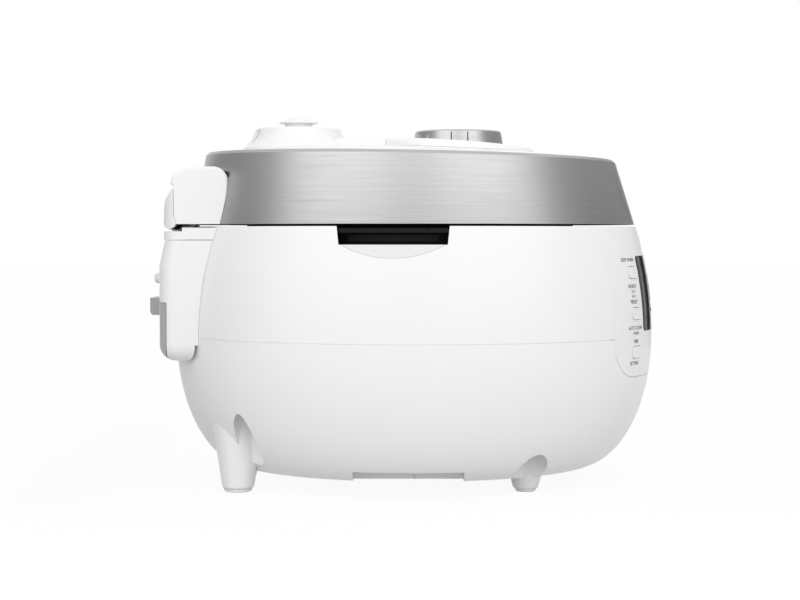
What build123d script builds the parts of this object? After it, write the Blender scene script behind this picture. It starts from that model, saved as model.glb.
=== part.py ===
from build123d import *
from math import asin, atan2, cos, degrees, pi, radians, sin, sqrt, tan
import os

# Electric pressure rice cooker, millimetres. +Z is up, the front looks along -Y, X = 0 is the middle.

# Clearances
fit = 0.3                  # between neighbouring pieces
seam = 0.4                 # open joint between two outer shells
run = 0.05                 # shaft in its bore
touch = 0.1                # pieces bedded or pressed on one another
cut_over = 30.0            # prisms that cut the rim stand this far above it

# Inner pot and what goes round it
pot_radius = 99.0
pot_height = 115.0
pot_wall = 3.0
pot_corner = 25.0
pot_back = 2.9             # pot's middle behind the body's
pot_flange = 6.0           # plain flange beyond the pot's side
pot_flange_thick = 4.0
pot_lug = 5.0              # lugs beyond the flange
pot_lug_angle = 24.0
lug_count = 6
lug_room = 3.0             # between the pot's lugs and the lock ring
ring_wall = 3.5
ring_bite = 2.0            # how far ring lugs reach under pot lugs
ring_lug_angle = 22.0
ring_lug_thick = 3.0
ring_lug_drop = 1.5        # air between pot lugs and ring lugs
ring_room = 1.0            # round the lock ring

# Body
body_length = 340.0        # front to back at the seam, the widest level
side_margin = 23.5         # from the lock ring to the body's widest point
wall = 2.5
floor_z = 10.4             # underside of the body above the table
seam_z = 104.0
rim_draw = 11.5            # upper wall draws in this much from seam to rim
floor_draw = 50.0          # lower wall draws in this much from seam to floor
rim_above_pot = 2.8
works_height = 43.6        # room under the heating plate
lip_height = 5.0           # joining lip inside the seam
lip_wall = 1.5
rim_over = 12.0            # the body's form runs on above the rim

# Heating
plate_radius = 82.0
plate_thick = 7.7
plate_flange = 8.0
plate_flange_thick = 3.0
element_radius = 60.0
element_tube = 4.0
element_arc = 320.0
element_pin = 12.0
element_pin_radius = 2.4
sensor_radius = 14.0
sensor_thick = 5.0
sensor_room = 1.0          # plate's hole round the cap
sensor_stem = 3.0
sensor_stem_out = 3.0      # stem below its bracket
sensor_cup = 18.0          # height of the bracket below the plate
cup_room = 4.0             # bracket's side beyond the cap
cup_wall = 1.5
cup_hole = 4.0
sensor_spring_radius = 9.0
sensor_spring_wall = 1.2
fuse_radius = 2.5
fuse_length = 16.0
well_room = 7.0            # between the pot and the well's side
well_wall = 1.5
well_shoulder_drop = 16.0  # shoulder below the pot's rim
well_hole_room = 2.0       # round the heating plate
warm_band_height = 40.0
warm_band_wall = 1.5
warm_band_lift = 33.0      # above the well's floor

# Top frame
frame_drop = 1.3           # deck below the body's rim
frame_deck = 3.0
frame_skirt = 13.0
frame_tube_wall = 2.5
frame_tube = 22.0
frame_ledge = 8.0
frame_room = 2.0           # frame's hole round the lock ring
frame_front_cut = 30.0     # skirt left out beyond the control board's ends

# Side grips
grip_back = 14.5           # behind the middle of the body
grip_width = 73.0
grip_taper = 1.3           # each end, top to bottom
grip_drop = 12.0           # notch below the rim
scoop_drop = 9.4           # scoop below the notch
grip_bar_length = 59.0
grip_bar_height = 4.4
grip_bar_proud = 2.6
grip_bar_drop = 5.6        # below the rim

# Front panel
panel_half = 86.0
panel_drop = 27.0          # panel's foot below the seam
panel_corner = 24.0
panel_gap = 0.1            # panel snapped flush into the upper housing
window_half = 52.0
window_rise = 3.8          # window's foot above the seam
window_height = 51.8
window_corner = 3.0
window_proud = 0.15
key_x = 62.0
key_rises = (44.4, 16.4, -10.0)
key_width = 15.0
key_height = 8.0
key_corner = 3.0
key_proud = 0.7
key_depth = 5.0
key_travel = 0.8
key_play = 0.35
key_cut = 20.0
switch_reach = 70.0
switch_radius = 3.2
board_y = -138.5           # front face of the control board, from the body's own middle
board_half = 62.0
board_thick = 1.6
board_drop = 12.0          # board's foot below the seam
board_height = 76.0
board_post = 3.0
board_post_x = 36.0
board_post_inset = 6.0
module_half = 42.0
module_height = 46.0
module_depth = 14.0

# Power supply on the bottom plate
power_half = 50.0
power_depth = 45.0
power_front = 124.0        # ahead of the body's middle
power_lift = 10.0
power_thick = 1.6
coil_half = 14.0
coil_depth = 24.0
coil_height = 20.0
coil_inset = 1.0           # winding inside the core's height
coil_overhang = 6.0        # winding beyond the core's ends
post_radius = 3.5
post_inset = 8.0           # from the board's sides
post_ahead = 12.0          # from the board's front edge
post_behind = 4.0          # from its back edge
tab_radius = 5.0           # bosses that hold the bottom plate
tab_height = 9.0
tab_inset = 3.0            # bosses from the plate's edge

# Underside
plate_margin = 16.0        # shell's floor ring round the bottom plate
bottom_thick = 2.5
vent_count = 7
vent_length = 44.0
vent_width = 3.0
vent_pitch = 9.0
notch_width = 73.5
notch_back = 4.4           # behind the middle of the body
notch_height = 8.0
pad_height = 2.0
pad_inset = 0.8
front_leg_x = 70.0
front_leg_ahead = 75.5
front_leg_radius = 7.9
front_leg_slope = 0.27
front_leg_height = 13.0
front_leg_lean = 0.0
rear_leg_x = 70.4
rear_leg_back = 120.3
rear_leg_radius = 10.3
rear_leg_slope = 0.18
rear_leg_height = 49.0
rear_leg_lean = 0.27       # towards the middle, over its height
leg_round = 1.6
front_well_radius = 12.0
front_well_out = 22.6
front_well_ahead = 0.8
front_well_top = 31.0
rear_well_radius = 10.0
rear_well_out = 13.9
rear_well_ahead = 8.8
rear_well_top = 56.0
screw_aside = 3.0          # base screws out from their wells' middles
screw_head = 4.0
screw_head_thick = 2.4
screw_shank = 1.6
screw_length = 9.0

# Hinge and back
pivot_behind = 9.1         # behind the lid band
pivot_rise = 3.2           # above the body's rim
pin_radius = 2.0
pin_half = 58.0
knuckle_radius = 5.6
knuckle_half = 30.0
web_inset = 1.0            # knuckle's web ahead of the flat back, clear of the swung cover
arm_inner = 33.0
arm_outer = 58.0
arm_hub = 5.2
arm_length = 40.0
spring_half = 12.0
spring_radius = 3.7
spring_wall = 1.2
column_half = 71.0
column_behind = 13.0       # back of the column behind the pivot, in the middle
column_bow = 7.0
column_corner = 12.0
column_drop = 16.0         # column's foot below the seam
column_top_below = 9.2     # below the rim
column_lean = 4.0
column_lean_height = 18.0
column_round = 11.0
foot_gap = 2.4             # shadow gap between the column's foot and the body
housing_below = 0.8        # hinge housing's highest part below the rim
back_flat = 4.8            # hinge pieces behind the pivot, flat
saddle_below = 3.3         # hinge housing's top below the rim at the pivot
saddle_front = 9.0         # its raised front part starts this far ahead of the pivot
nub_radius = 3.6
nub_reach = 7.0
nub_round = 2.1
nub_rise = 39.0            # above the seam
dish_rise = 23.6           # dish's top edge above the seam
dish_wall = 2.0
dish_split = 2.2           # dish's face behind the pivot
dish_gap = 1.0             # between the dish and the body
tab_reach = 8.4
tab_half = 16.0
tab_rise = 25.4            # tab's top above the seam
tab_height_back = 12.2
tab_wall = 2.2
gland_x = 44.0
gland_drop = 50.0          # below the seam
gland_radius = 8.0
gland_bore = 3.6
gland_flange = 11.0
gland_flange_thick = 2.0
gland_length = 14.0
gland_proud = 6.0          # flange behind the wall

# Lid
lid_gap = 1.5
lid_inset = 1.1            # band's foot inside the body's rim
plate_lift = 0.7           # pressure plate above the band's foot
lid_top_back = 2.5         # middle of the band's top edge behind the body's middle
lid_height = 48.0
lid_tilt = 1.07            # degrees, high at the back
band_lean = 11.6           # band draws in from bottom to top
band_wall = 1.2
band_bevel = 2.0
band_bevel_in = 1.5
band_lip = 3.0
crown_rise = 7.4
cover_wall = 2.5
cover_skirt = 12.0
cover_skirt_wall = 2.2
post_angles = (10, 60, 120, 170)
post_ring = 88.0
cover_post = 5.0
base_thick = 3.0
base_lift = 1.0            # lid base above the band's foot
arm_room = 2.0             # openings for the hinge arms beyond them
arm_rise = 11.0            # and above the pivot
hub_share = 0.7            # arms' tops as a share of the hub
base_post = 4.5
base_post_places = ((78, -93), (-78, -93), (92, 73), (-92, 73))
hinge_top = 40.6           # hinge cover's top above the rim
hinge_corner = 18.0        # length of the rounded upper back corner
hinge_nose = 10.0
hinge_lip = 2.4
hinge_ahead = 3.4          # back of the hinge cover ahead of the pivot
hinge_length = 36.5
hinge_wall = 2.5
hinge_edge = 2.0
rear_strip_top = 25.5      # above the rim
strip_edge = 1.5           # flat top edge of the rear strip
strip_slope_in = 1.6
strip_slope_drop = 8.0     # upper and lower ends of its sloping part
strip_flat_drop = 17.0
strip_end = 5.0            # solid ends beside its hollow
strip_hollow = 3.6
strip_hollow_low = 8.0
strip_hollow_high = 6.0
strip_barrel = 2.5         # barrels start this far beyond the arms
strip_barrel_end = 0.5

# Lock
gear_module = 1.5
pinion_teeth = 14
ring_teeth = 60
gear_backlash = 0.3
gear_thick = 3.0
gear_lift = 1.0            # gear above the pressure plate
pressure_angle = 20.0
sector_angle = 42.0        # toothed arm of the lock ring
sector_middle = 260.0
ring_flange_width = 13.0
plate_disc_thick = 6.0
plate_ring_gap = 2.0       # pressure plate inside the lock ring
shaft_radius = 4.0
shaft_socket = 4.0
knob_lift = 0.5            # knob above its seat
knob_radius = 33.0
knob_top_radius = 30.6
knob_height = 13.0
knob_bar = 10.8
knob_bar_proud = 0.5
knob_hollow = 6.0
knob_rim = 4.5
knob_edge = 0.8
dial_radius = 56.5
dial_spigot = 52.7
dial_top = 9.8             # above the middle of the band's top edge, at the knob's axis
dial_tilt = 4.0            # degrees, low at the front
dial_round = 5.0
bridge_half = 24.0         # raised pad between the dial plate and the steam cap
bridge_top = 13.2          # above the middle of the band's top edge
bridge_round = 5.0
dial_floor = 2.8
bush_radius = 8.0
bush_flange = 11.0
bush_flange_thick = 2.2
bush_length = 12.0
knob_seat = 5.2            # seat for the knob above the middle of the lid band's top edge

# Lid seal
inner_cover_thick = 1.2
inner_cover_drop = 3.0
inner_cover_inset = 5.0    # inside the pot's outer side
inner_boss = 10.0
hole_count = 8
hole_radius = 2.0
hole_ring = 60.0
gasket_width = 12.0
gasket_groove = 1.6
gasket_edge = 1.1

# Steam
vent_back = 79.8           # behind the pot's middle
cap_radius = 30.5
cap_base = 39.5
cap_top = 20.7             # above the band's top edge
cap_bottom = 6.5
cap_wall = 2.2
cap_edge = 1.0
cap_skirt = 6.0            # straight skirt under the bulge, trimmed to the crown
cap_slots = (-30, -15, 0, 15, 30)
cap_slot = 2.2
cap_slot_low = 11.0        # slots between these depths under the cap's top
cap_slot_high = 1.6
weight_neck = 10.0
weight_flange = 13.8
weight_flange_thick = 1.1
weight_gap = 3.6
weight_dome = 4.4
weight_dome_radius = 9.8
weight_play = 0.6
weight_depth = 5.4         # weight's foot below the cap's top
nozzle_radius = 3.0
nozzle_bore = 1.2
nozzle_nut = 8.0
nozzle_nut_thick = 4.0
valve_x = 34.0
valve_back = 55.0
valve_radius = 7.0
valve_height = 16.0
valve_hexagon = 9.6        # height of its hexagon
valve_stem = 4.2
valve_stem_low = 8.0
solenoid_radius = 11.0
solenoid_height = 26.0
plunger_radius = 3.0
plunger_head = 5.0
plunger_head_thick = 3.5
plunger_seat = 2.0         # hole under the plunger

# Worked out from the sizes above
panel_bottom = seam_z - panel_drop
window_bottom = seam_z + window_rise
key_levels = [seam_z + rise for rise in key_rises]
board_bottom = seam_z - board_drop
column_bottom = seam_z - column_drop
nub_z = seam_z + nub_rise
dish_top = seam_z + dish_rise
tab_top = seam_z + tab_rise
tab_bottom = tab_top - tab_height_back
gland_z = seam_z - gland_drop
flange_radius = pot_radius + pot_flange
lug_radius = flange_radius + pot_lug
ring_inner = lug_radius + lug_room
ring_outer = ring_inner + ring_wall
body_width = 2 * (ring_outer + side_margin)
width_ratio = body_width / body_length
rim_length = body_length - 2 * rim_draw
lid_length = rim_length - 2 * lid_inset
lid_top_length = lid_length - 2 * band_lean
rear_reach = lid_length / 2 + pivot_behind + column_behind + tab_reach
body_y = (body_length / 2 - rear_reach) / 2
pot_y = body_y + pot_back
lid_y = body_y + lid_top_back
pivot_y = body_y + lid_length / 2 + pivot_behind
column_y = pivot_y + column_behind
heat_z = floor_z + works_height
pot_z = heat_z + plate_thick + fit
pot_top = pot_z + pot_height
rim_z = pot_top + rim_above_pot
pivot_z = rim_z + pivot_rise
band_z = rim_z + lid_gap
lid_top_z = band_z + lid_height
lid_place = Location((0, lid_y, lid_top_z), (lid_tilt, 0, 0))
plate_bottom = band_z + plate_lift
plate_top = plate_bottom + plate_disc_thick
gear_z = plate_top + gear_lift
gear_gap = gear_module * (ring_teeth - pinion_teeth) / 2
knob_y = pot_y - gear_gap
seat_z = lid_top_z + knob_seat
knob_z = seat_z + knob_lift
knob_top = knob_z + knob_height
vent_y = pot_y + vent_back
valve_y = pot_y + valve_back
cap_top_z = lid_top_z + cap_top
weight_z = cap_top_z - weight_depth
column_top = rim_z - column_top_below
cover_radius = lid_top_length / 2 - band_lip - fit
plate_hole = body_length / 2 - floor_draw - plate_margin
power_z = floor_z + bottom_thick + power_lift
tab_angles = (40, 140, 220, 320)
pot_axis = Pos(0, pot_y, 0)
low = (Align.CENTER, Align.CENTER, Align.MIN)
across = Rotation(0, 90, 0)


def rod(radius, z0, z1, x=0.0, y=0.0):
    return Pos(x, y, z0) * Cylinder(radius, z1 - z0, align=low)


def tube(outer, inner, z0, z1, x=0.0, y=0.0):
    return rod(outer, z0, z1, x, y) - rod(inner, z0 - 1, z1 + 1, x, y)


def block(x0, x1, y0, y1, z0, z1):
    box = Box(x1 - x0, y1 - y0, z1 - z0)
    return Pos((x0 + x1) / 2, (y0 + y1) / 2, (z0 + z1) / 2) * box


def cross_rod(radius, x0, x1, y, z):
    return Pos((x0 + x1) / 2, y, z) * across * Cylinder(radius, x1 - x0)


def turned(points):
    return revolve(Plane.XZ * make_face(Polyline(*points, close=True)), Axis.Z)


def oval(solid):
    return scale(solid, by=(width_ratio, 1, 1))


def body_solid(outset):
    # the body's outer form, grown or shrunk, standing above its rim to be cut to height
    upper_height = rim_z - seam_z
    upper_radius = (upper_height ** 2 + rim_draw ** 2) / (2 * rim_draw)
    half = body_length / 2
    corner = half - floor_draw
    foot_z = floor_z - outset
    side = upper_radius + outset
    top_angle = degrees(asin((upper_height + rim_over) / side))
    lower = EllipticalCenterArc((corner, seam_z), floor_draw + outset, seam_z - foot_z, 270, arc_size=90)
    upper = CenterArc((half - upper_radius, seam_z), side, 0, top_angle)
    end = upper @ 1
    closing = Polyline(end, (0, end.Y), (0, foot_z), (corner, foot_z))
    return Pos(0, body_y, 0) * oval(revolve(Plane.XZ * make_face([lower, upper, closing]), Axis.Z))


def lid_section(down, outset):
    # the lid band's outline, from its tilted top edge (0) down to its level foot (1)
    half = lid_top_length / 2 + band_lean * down + outset
    middle = (0, lid_y + (body_y - lid_y) * down, lid_top_z - lid_height * down)
    return Location(middle, (lid_tilt * (1 - down), 0, 0)) * Ellipse(half * width_ratio, half)


def lid_cone(outset, top, bottom):
    return loft([lid_section(bottom, outset), lid_section(top, outset)], ruled=True)


def crown_solid(outset):
    # everything under the lid cover's double curved crown
    length = cover_radius
    width = cover_radius * width_ratio
    radius_y = (length ** 2 + crown_rise ** 2) / (2 * crown_rise)
    radius_x = (width ** 2 + crown_rise ** 2) / (2 * crown_rise)
    reach = degrees(asin((length + band_lip * 3) / radius_y))
    arc = CenterArc((0, crown_rise - radius_y), radius_y + outset, 90 - reach, 2 * reach)
    axis_z = crown_rise - radius_x
    ends = Polyline(arc @ 1, ((arc @ 1).X, axis_z), ((arc @ 0).X, axis_z), arc @ 0)
    barrel = revolve(Plane.YZ * make_face([arc, ends]), Axis((0, 0, axis_z), (0, 1, 0)))
    return lid_place * barrel


outer_body = body_solid(0)
inner_body = body_solid(-wall)
skin = outer_body - inner_body
crown = crown_solid(0)
far = 2 * body_length


def level(z0, z1):
    return block(-far, far, -far, far, z0, z1)


def panel_prism(grow):
    half = panel_half + grow
    bottom = panel_bottom - grow
    top = rim_z + cut_over
    face = Rectangle(2 * half, top - bottom)
    face = fillet(face.vertices().sort_by(Axis.Y)[:2], panel_corner)
    prism = extrude(Plane.XZ * face, far)
    return Pos(0, body_y, (top + bottom) / 2) * prism


def window_prism(grow):
    face = RectangleRounded(2 * (window_half + grow), window_height + 2 * grow, window_corner)
    prism = extrude(Plane.XZ * face, far)
    return Pos(0, body_y, window_bottom + window_height / 2) * prism


def key_place(side, z):
    # a frame on the body's surface whose Z points out of the panel
    half_y = body_length / 2
    half_x = body_width / 2
    y = -half_y * sqrt(1 - (key_x / half_x) ** 2)
    out = Vector(side * key_x / half_x ** 2, y / half_y ** 2, 0).normalized()
    return Plane((side * key_x, body_y + y, z), x_dir=(-out.Y * side, out.X * side, 0), z_dir=out)


def key_prism(side, z, grow):
    face = RectangleRounded(key_width + 2 * grow, key_height + 2 * grow, key_corner + grow)
    return extrude(key_place(side, z) * face, key_cut, both=True)


def leg_list():
    legs = []
    for side in (-1, 1):
        front = leg_cone(front_leg_radius, front_leg_slope, front_leg_height, -side * front_leg_lean)
        rear = leg_cone(rear_leg_radius, rear_leg_slope, rear_leg_height, -side * rear_leg_lean)
        legs.append((side * front_leg_x, body_y - front_leg_ahead, front_leg_radius, front))
        legs.append((side * rear_leg_x, body_y + rear_leg_back, rear_leg_radius, rear))
    return legs


def well_list():
    wells = []
    for side in (-1, 1):
        wells.append((side * (front_leg_x + front_well_out),
                      body_y - front_leg_ahead - front_well_ahead, front_well_top, front_well_radius))
        wells.append((side * (rear_leg_x + rear_well_out),
                      body_y + rear_leg_back - rear_well_ahead, rear_well_top, rear_well_radius))
    return wells


def base_screw_places():
    return [(x + (screw_aside if x > 0 else -screw_aside), y, top) for x, y, top, radius in well_list()]


def leg_cone(radius, slope, height, lean):
    # a tapered leg above its pad, leaning along X
    ends = [Pos(lean * z, 0, z) * Circle(radius + slope * z) for z in (pad_height, height)]
    cone = loft(ends, ruled=True)
    return fillet(cone.edges().group_by(Axis.Z)[0], leg_round)


def notch_box(side, grow):
    reach = plate_hole * width_ratio - grow
    middle = body_y + notch_back
    half = notch_width / 2 + grow
    ends = sorted((side * reach, side * body_width))
    return block(ends[0], ends[1], middle - half, middle + half, -1, floor_z + notch_height + grow)


def base_shell():
    shell = outer_body & level(0, seam_z - seam / 2)
    cavity = inner_body
    for x, y, top, radius in well_list():
        shell -= rod(radius, 0, top, x, y)
        cavity -= rod(radius + wall, 0, top + wall, x, y)
    for x, y, radius, leg in leg_list():
        shell += Pos(x, y, 0) * leg
    for side in (-1, 1):
        shell -= notch_box(side, 0)
        cavity -= notch_box(side, wall)
    shell -= cavity
    for x, y, top in base_screw_places():
        shell -= rod(screw_shank + fit, top - 1, top + wall + 1, x, y)
    shell -= Pos(0, body_y, 0) * oval(rod(plate_hole, 0, floor_z + bottom_thick))
    for x, y in power_posts()[:2]:
        shell += rod(post_radius, floor_z + wall / 2, power_z, x, y)
    for angle in tab_angles:
        shell += plate_tab(angle)
    lip_low = body_solid(-wall + lip_wall / 2) - body_solid(-wall - fit - lip_wall)
    lip_high = body_solid(-wall - fit) - body_solid(-wall - fit - lip_wall)
    shell += lip_low & level(seam_z - lip_height, seam_z - seam)
    shell += lip_high & level(seam_z - seam - touch, seam_z + lip_height)
    shell -= panel_prism(seam / 2)
    return shell - gland_rod(gland_radius + fit, 4 * gland_length)


def plate_tab(angle):
    # a boss over the bottom plate on an arm from the shell's floor ring
    low_z = floor_z + bottom_thick + fit
    x, y = tab_place(angle)
    out_x, out_y = oval_point(plate_hole + plate_margin / 2, angle)
    length = sqrt((out_x - x) ** 2 + (out_y - y) ** 2)
    turn = degrees(atan2(out_y - y, out_x - x))
    arm = Pos(length / 2, 0, tab_height / 4) * Box(length, tab_radius, tab_height / 2)
    boss = Cylinder(tab_radius, tab_height, align=low) - Cylinder(screw_shank + fit / 2, far)
    foot = rod(tab_radius / 2, floor_z + wall / 2, low_z + tab_height / 2, out_x, out_y)
    return Pos(x, y, low_z) * (Rotation(0, 0, turn) * (arm - Cylinder(tab_radius / 2, far)) + boss) + foot


def oval_point(radius, angle):
    turn = radians(angle)
    return radius * width_ratio * cos(turn), body_y + radius * sin(turn)


def tab_place(angle):
    return oval_point(plate_hole - tab_radius - tab_inset, angle)


def power_posts():
    # the front pair stands on the shell, the back pair on the bottom plate
    side = power_half - post_inset
    front = body_y - power_front + post_ahead
    back = body_y - power_front + power_depth - post_behind
    return [(-side, front), (side, front), (-side, back), (side, back)]


def gland_rod(radius, length):
    # along Y through the lower back wall
    return Pos(gland_x, gland_wall_y(), gland_z) * Rotation(90, 0, 0) * Cylinder(radius, length)


def gland_wall_y():
    drop = (seam_z - gland_z) / (seam_z - floor_z)
    half = body_length / 2 - floor_draw + floor_draw * sqrt(1 - drop ** 2)
    return body_y + half * sqrt(1 - (gland_x / (half * width_ratio)) ** 2)


def cord_gland():
    wall_y = gland_wall_y()
    turn = Rotation(-90, 0, 0)
    inside = wall_y - gland_length
    length = gland_length + gland_proud + gland_flange_thick
    sleeve = Pos(gland_x, inside, gland_z) * turn * Cylinder(gland_radius, length, align=low)
    flange = Cylinder(gland_flange, gland_flange_thick, align=low)
    flange = Pos(gland_x, wall_y + gland_proud, gland_z) * turn * flange
    bore = Pos(gland_x, wall_y, gland_z) * turn * Cylinder(gland_bore, far)
    return sleeve + flange - bore


def grip_middle():
    return body_y + grip_back


def grip_cut(side):
    half = grip_width / 2
    foot = half - grip_taper
    low_z = rim_z - grip_drop
    top_z = rim_z + cut_over
    slope = grip_taper / grip_drop
    top_half = foot + slope * (top_z - low_z)
    outline = Polyline((-foot, low_z), (foot, low_z), (top_half, top_z), (-top_half, top_z), close=True)
    prism = extrude(Plane.YZ * make_face(outline), body_width)
    prism = prism if side > 0 else mirror(prism, Plane.YZ)
    return Pos(side * body_width / 4, grip_middle(), 0) * prism


def wall_x(y, z):
    # the outside of the upper wall on the +X side
    upper_height = rim_z - seam_z
    upper_radius = (upper_height ** 2 + rim_draw ** 2) / (2 * rim_draw)
    half = body_length / 2 - upper_radius + sqrt(upper_radius ** 2 - (z - seam_z) ** 2)
    return half * width_ratio * sqrt(1 - ((y - body_y) / half) ** 2)


def scoop_facet(side, grow):
    # a flat facet from the notch's two lower corners to the scoop's lowest point
    middle = grip_middle()
    low_z = rim_z - grip_drop
    half = grip_width / 2 - grip_taper
    ahead = wall_x(middle - half, low_z)
    behind = wall_x(middle + half, low_z)
    inner = (ahead + behind) / 2
    lean = wall_x(middle, low_z - scoop_drop) - inner
    foot_z = low_z - 3 * scoop_drop
    points = [(-grow, low_z), (3 * lean - grow, foot_z), (far, foot_z), (far, low_z)]
    facet = extrude(Plane.XZ * make_face(Polyline(*points, close=True)), far, both=True)
    turn = degrees(atan2(ahead - behind, 2 * half))
    facet = Pos(inner, middle, 0) * Rotation(0, 0, turn) * facet
    return facet if side > 0 else mirror(facet, Plane.YZ)


def upper_housing():
    shell = outer_body
    cavity = inner_body
    low_z = rim_z - grip_drop
    for side in (-1, 1):
        scoop = scoop_facet(side, 0)
        pocket = scoop_facet(side, wall)
        middle = grip_middle()
        half = grip_width / 2 + wall
        pocket &= block(-far, far, middle - half, middle + half, seam_z, low_z)
        shell -= scoop
        cavity -= pocket
    shell -= cavity
    for side in (-1, 1):
        shell -= grip_cut(side)
    shell &= level(seam_z + seam / 2, rim_z)
    return shell - panel_prism(panel_gap / 2)


def front_panel():
    panel = skin & panel_prism(-panel_gap / 2) & level(0, rim_z)
    panel -= window_prism(0)
    for side in (-1, 1):
        for z in key_levels:
            panel -= key_prism(side, z, key_play)
    posts = None
    for x in (-board_post_x, board_post_x):
        for z in (board_bottom + board_post_inset, board_bottom + board_height - board_post_inset):
            turn = Rotation(90, 0, 0)
            post = Pos(x, body_y + board_y, z) * turn * Cylinder(board_post, far, align=low)
            posts = post if posts is None else posts + post
    return panel + (posts & body_solid(-wall + 0.5) - window_prism(seam))


def display_window():
    lens = body_solid(window_proud) - body_solid(-wall + fit)
    return lens & window_prism(-fit / 2)


def key_cap(side, z):
    cap = body_solid(key_proud) & key_prism(side, z, 0)
    return cap - body_solid(key_proud - key_depth)


def key_switches():
    switches = None
    front = block(-far, far, -far, body_y + board_y, 0, far)
    room = body_solid(key_proud - key_depth - key_travel - fit)
    for side in (-1, 1):
        for z in key_levels:
            stem = key_place(side, z) * Cylinder(switch_radius, switch_reach)
            stem = stem & room & front
            switches = stem if switches is None else switches + stem
    return switches


def control_board():
    y = body_y + board_y
    top = board_bottom + board_height
    return block(-board_half, board_half, y, y + board_thick, board_bottom, top)


def display_module():
    y = body_y + board_y
    middle = window_bottom + window_height / 2
    half = module_height / 2
    return block(-module_half, module_half, y - module_depth, y, middle - half, middle + half)


def power_board():
    front = body_y - power_front
    return block(-power_half, power_half, front, front + power_depth, power_z, power_z + power_thick)


def transformer():
    z = power_z + power_thick
    y = body_y - power_front + power_depth / 2
    depth = coil_depth / 2
    core = block(-coil_half, coil_half, y - depth, y + depth, z, z + coil_height)
    winding = Rotation(90, 0, 0) * Cylinder(coil_height / 2 - coil_inset, coil_depth + coil_overhang)
    return core + Pos(0, y, z + coil_height / 2) * winding


def bottom_plate():
    plate = Pos(0, body_y, 0) * oval(rod(plate_hole - fit, floor_z, floor_z + bottom_thick))
    for number in range(vent_count):
        y = body_y + (number - (vent_count - 1) / 2) * vent_pitch
        slot = extrude(SlotOverall(vent_length, vent_width), 2 * floor_z, both=True)
        plate -= Pos(0, y, floor_z) * slot
    for x, y in power_posts()[2:]:
        plate += rod(post_radius, floor_z + bottom_thick / 2, power_z, x, y)
    for angle in tab_angles:
        plate -= rod(screw_shank + fit, 0, far, *tab_place(angle))
    return plate


def screw(x, y, z):
    # head under the level z, shank above it
    head = rod(screw_head, z - screw_head_thick, z, x, y)
    return head + rod(screw_shank, z - touch, z + screw_length, x, y)


def base_screws():
    return sum_of(screw(*place) for place in base_screw_places())


def bottom_screws():
    return sum_of(screw(*tab_place(angle), floor_z) for angle in tab_angles)


def sum_of(solids):
    return Compound(children=list(solids))


def foot_pads():
    pads = []
    for x, y, radius, leg in leg_list():
        pad = Cylinder(radius - pad_inset, pad_height, align=low)
        pads.append(Pos(x, y, 0) * chamfer(pad.edges().group_by(Axis.Z)[0], pad_height / 3))
    return sum_of(pads)


def inner_pot():
    inside = pot_radius - pot_wall
    corner = pot_corner
    small = corner - pot_wall
    outside_line = [Line((0, pot_z), (pot_radius - corner, pot_z)),
                    CenterArc((pot_radius - corner, pot_z + corner), corner, 270, 90),
                    Line((pot_radius, pot_z + corner), (pot_radius, pot_top - pot_flange_thick)),
                    Polyline((pot_radius, pot_top - pot_flange_thick),
                             (flange_radius, pot_top - pot_flange_thick),
                             (flange_radius, pot_top), (inside, pot_top),
                             (inside, pot_z + pot_wall + small))]
    inside_line = [CenterArc((inside - small, pot_z + pot_wall + small), small, 270, 90),
                   Polyline((inside - small, pot_z + pot_wall), (0, pot_z + pot_wall), (0, pot_z))]
    pot = revolve(Plane.XZ * make_face(outside_line + inside_line), Axis.Z)
    for number in range(lug_count):
        pot += lug(flange_radius - 1, lug_radius, pot_lug_angle, number * 360 / lug_count,
                   pot_top - pot_flange_thick, pot_top)
    return pot_axis * pot


def lug(inner, outer, angle, middle, z0, z1):
    outline = Polyline((inner, z0), (outer, z0), (outer, z1), (inner, z1), close=True)
    ring = revolve(Plane.XZ * make_face(outline), Axis.Z, angle)
    return Rotation(0, 0, middle - angle / 2) * ring


def pot_well():
    outer = pot_radius + well_room + well_wall
    inner = outer - well_wall
    shoulder = pot_top - well_shoulder_drop
    rim = ring_outer + ring_room
    floor = heat_z - well_wall
    hole = plate_radius + well_hole_room
    points = [(hole, floor), (outer, floor), (outer, shoulder - well_wall), (rim, shoulder - well_wall),
              (rim, shoulder), (inner, shoulder), (inner, heat_z), (hole, heat_z)]
    return pot_axis * turned(points)


def warm_band():
    inner = pot_radius + well_room + well_wall + fit
    z = heat_z + warm_band_lift
    return pot_axis * tube(inner + warm_band_wall, inner, z, z + warm_band_height)


def heating_plate():
    top = heat_z + plate_thick
    plate = rod(plate_radius, heat_z, top)
    plate += rod(plate_radius + plate_flange, heat_z, heat_z + plate_flange_thick)
    return pot_axis * (plate - rod(sensor_radius + sensor_room, heat_z - 1, top + 1))


def heater_element():
    z = heat_z - fit - element_tube
    circle = Plane.XZ * Pos(element_radius, z) * Circle(element_tube)
    ring = Rotation(0, 0, 90 + (360 - element_arc) / 2) * revolve(circle, Axis.Z, element_arc)
    for side in (-1, 1):
        angle = radians(90 + side * (360 - element_arc) / 2)
        x = element_radius * cos(angle)
        y = element_radius * sin(angle)
        ring += rod(element_pin_radius, z - element_tube - element_pin, z, x, y)
    return pot_axis * ring


def sensor_bracket():
    outer = sensor_radius + cup_room
    low_z = heat_z - sensor_cup
    cup = tube(outer, outer - cup_wall, low_z, heat_z)
    return pot_axis * (cup + tube(outer, cup_hole, low_z, low_z + cup_wall))


def sensor_cap():
    top = pot_z - fit
    cap = rod(sensor_radius, top - sensor_thick, top)
    stem = rod(sensor_stem, heat_z - sensor_cup - sensor_stem_out, top - sensor_thick + touch)
    return pot_axis * (cap + stem)


def sensor_spring():
    z0 = heat_z - sensor_cup + cup_wall + touch
    z1 = pot_z - fit - sensor_thick - touch
    return pot_axis * tube(sensor_spring_radius, sensor_spring_radius - sensor_spring_wall, z0, z1)


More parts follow.
